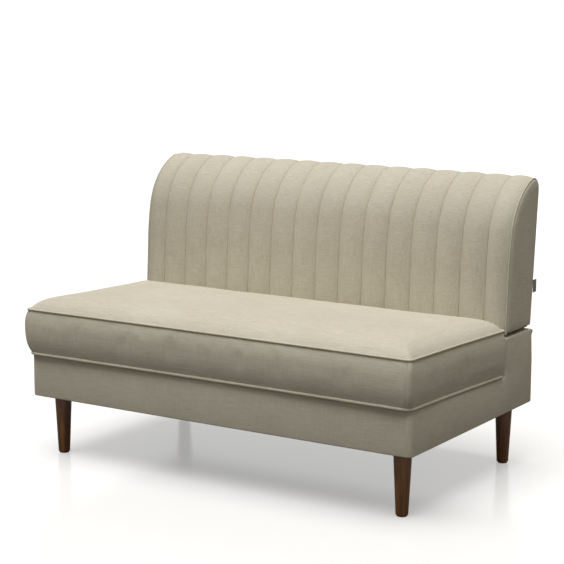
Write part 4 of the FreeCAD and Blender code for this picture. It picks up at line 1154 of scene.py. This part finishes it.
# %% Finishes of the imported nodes
by_slot = {"plywood": plywood, "pine": pine, "foam": foam, "wadding": wadding,
           "dust_cloth": dust_cloth, "zinc_steel": zinc, "bumper_rubber": rubber,
           "zip_tape": zip_tape, "zip_metal": zip_metal, "zip_plastic": zip_plastic,
           "sofa_fabric": linen, "tab_fabric": tab_cloth, "glide_plastic": glide_plastic,
           "walnut_stained_wood": walnut, "webbing": webbing_long}
for subpart in frame["record"]["subparts"]:
    dress(nodes[subpart["node"]], by_slot[subpart["material_slot"]])
dress(nodes["webbing_crosswise"], webbing_cross)
print("finishes on", len(nodes), "nodes")

# %% [markdown]
# ## Floor, light and camera
# The sofa stands on a white, slightly glossy studio floor. To the camera the floor and the air
# beyond it are plain white. Other rays see a greyer floor, or it would brighten the upright faces
# from below too much.

# %% Floor
# A Mix node for colours takes them at its inputs 6 and 7 and gives the result at its output 2.
first_colour, second_colour, mixed_colour = 6, 7, 2
deselect()
bpy.ops.mesh.primitive_plane_add(size=180, location=(0, 0, 0))
floor = named("studio_floor")
material, tree, shader = start_material("white_studio_floor", "#FFFFFF", 0.16)
shader.inputs["Specular IOR Level"].default_value = 0.12
rays = add(tree, "LightPath")
floor_tone = add(tree, "Mix", [("Factor", rays.outputs["Is Camera Ray"])], data_type="RGBA")
floor_tone.inputs[first_colour].default_value = colour("#565656")
floor_tone.inputs[second_colour].default_value = colour("#DCDCDC")
tree.links.new(floor_tone.outputs[mixed_colour], shader.inputs["Base Color"])
shader.inputs["Emission Color"].default_value = (1, 1, 1, 1)
glow = add(tree, "MapRange", [("Value", rays.outputs["Is Camera Ray"])], To_Max=0.36)
tree.links.new(glow.outputs[0], shader.inputs["Emission Strength"])
dress(floor, material)
print("floor", floor.dimensions[:])

# %% [markdown]
# The air is white where the camera or a reflection sees it. As a light it is warm and weak, and
# only softens the shade.

# %% Air round the studio
world = bpy.data.worlds.new("studio_air")
bpy.context.scene.world = world
world.use_nodes = True
tree = world.node_tree
rays = add(tree, "LightPath")
seen = calculate(tree, "MAXIMUM", rays.outputs["Is Camera Ray"], rays.outputs["Is Glossy Ray"])
strength = add(tree, "MapRange", [("Value", seen)], To_Min=0.24, To_Max=1.0)
tree.links.new(strength.outputs[0], tree.nodes["Background"].inputs["Strength"])
air = add(tree, "Mix", [("Factor", seen)], data_type="RGBA")
air.inputs[first_colour].default_value = colour("#FFF4DF")
air.inputs[second_colour].default_value = colour("#FFFFFF")
tree.links.new(air.outputs[mixed_colour], tree.nodes["Background"].inputs["Color"])
print("air:", world.name)

# %% [markdown]
# The key light is wide and soft and comes from above, a little from the front left: tops are
# brightest, the front is darker and the right side is darkest.

# %% Key light
deselect()
bpy.ops.object.light_add(type="SUN", location=(-1.0, -1.0, 3.0))
key = bpy.context.object
key.name = "soft_key_light"
key.data.energy = 2.5
key.data.angle = math.radians(55)
aim = Vector((0.05, 0.22, -1.0))
key.rotation_euler = aim.to_track_quat("-Z", "Y").to_euler()
print("key light shines along", aim[:])

# %% [markdown]
# The camera's place, turn and focal length were found from the edges in the photograph.

# %% Camera
focal_pixels = 1712.9
image_pixels = 564
sensor_width = 36.0
camera_place = (2.4987, -3.9069, 1.3047)
camera_turn = math.radians(32.578)
camera_down = math.radians(9.878)
camera_roll = math.radians(0.156)
camera_data = bpy.data.cameras.new("view")
camera_data.sensor_width = sensor_width
camera_data.lens = sensor_width * focal_pixels / image_pixels
camera_data.clip_end = 100
camera = bpy.data.objects.new("view", camera_data)
bpy.context.collection.objects.link(camera)
camera.matrix_world = (
    Matrix.Translation(camera_place)
    @ Matrix.Rotation(camera_turn, 4, "Z")
    @ Matrix.Rotation(math.radians(90) - camera_down, 4, "X")
    @ Matrix.Rotation(camera_roll, 4, "Z"))
bpy.context.scene.camera = camera
bpy.context.scene.view_settings.view_transform = "Standard"
print("lens", round(camera_data.lens, 2), "mm")
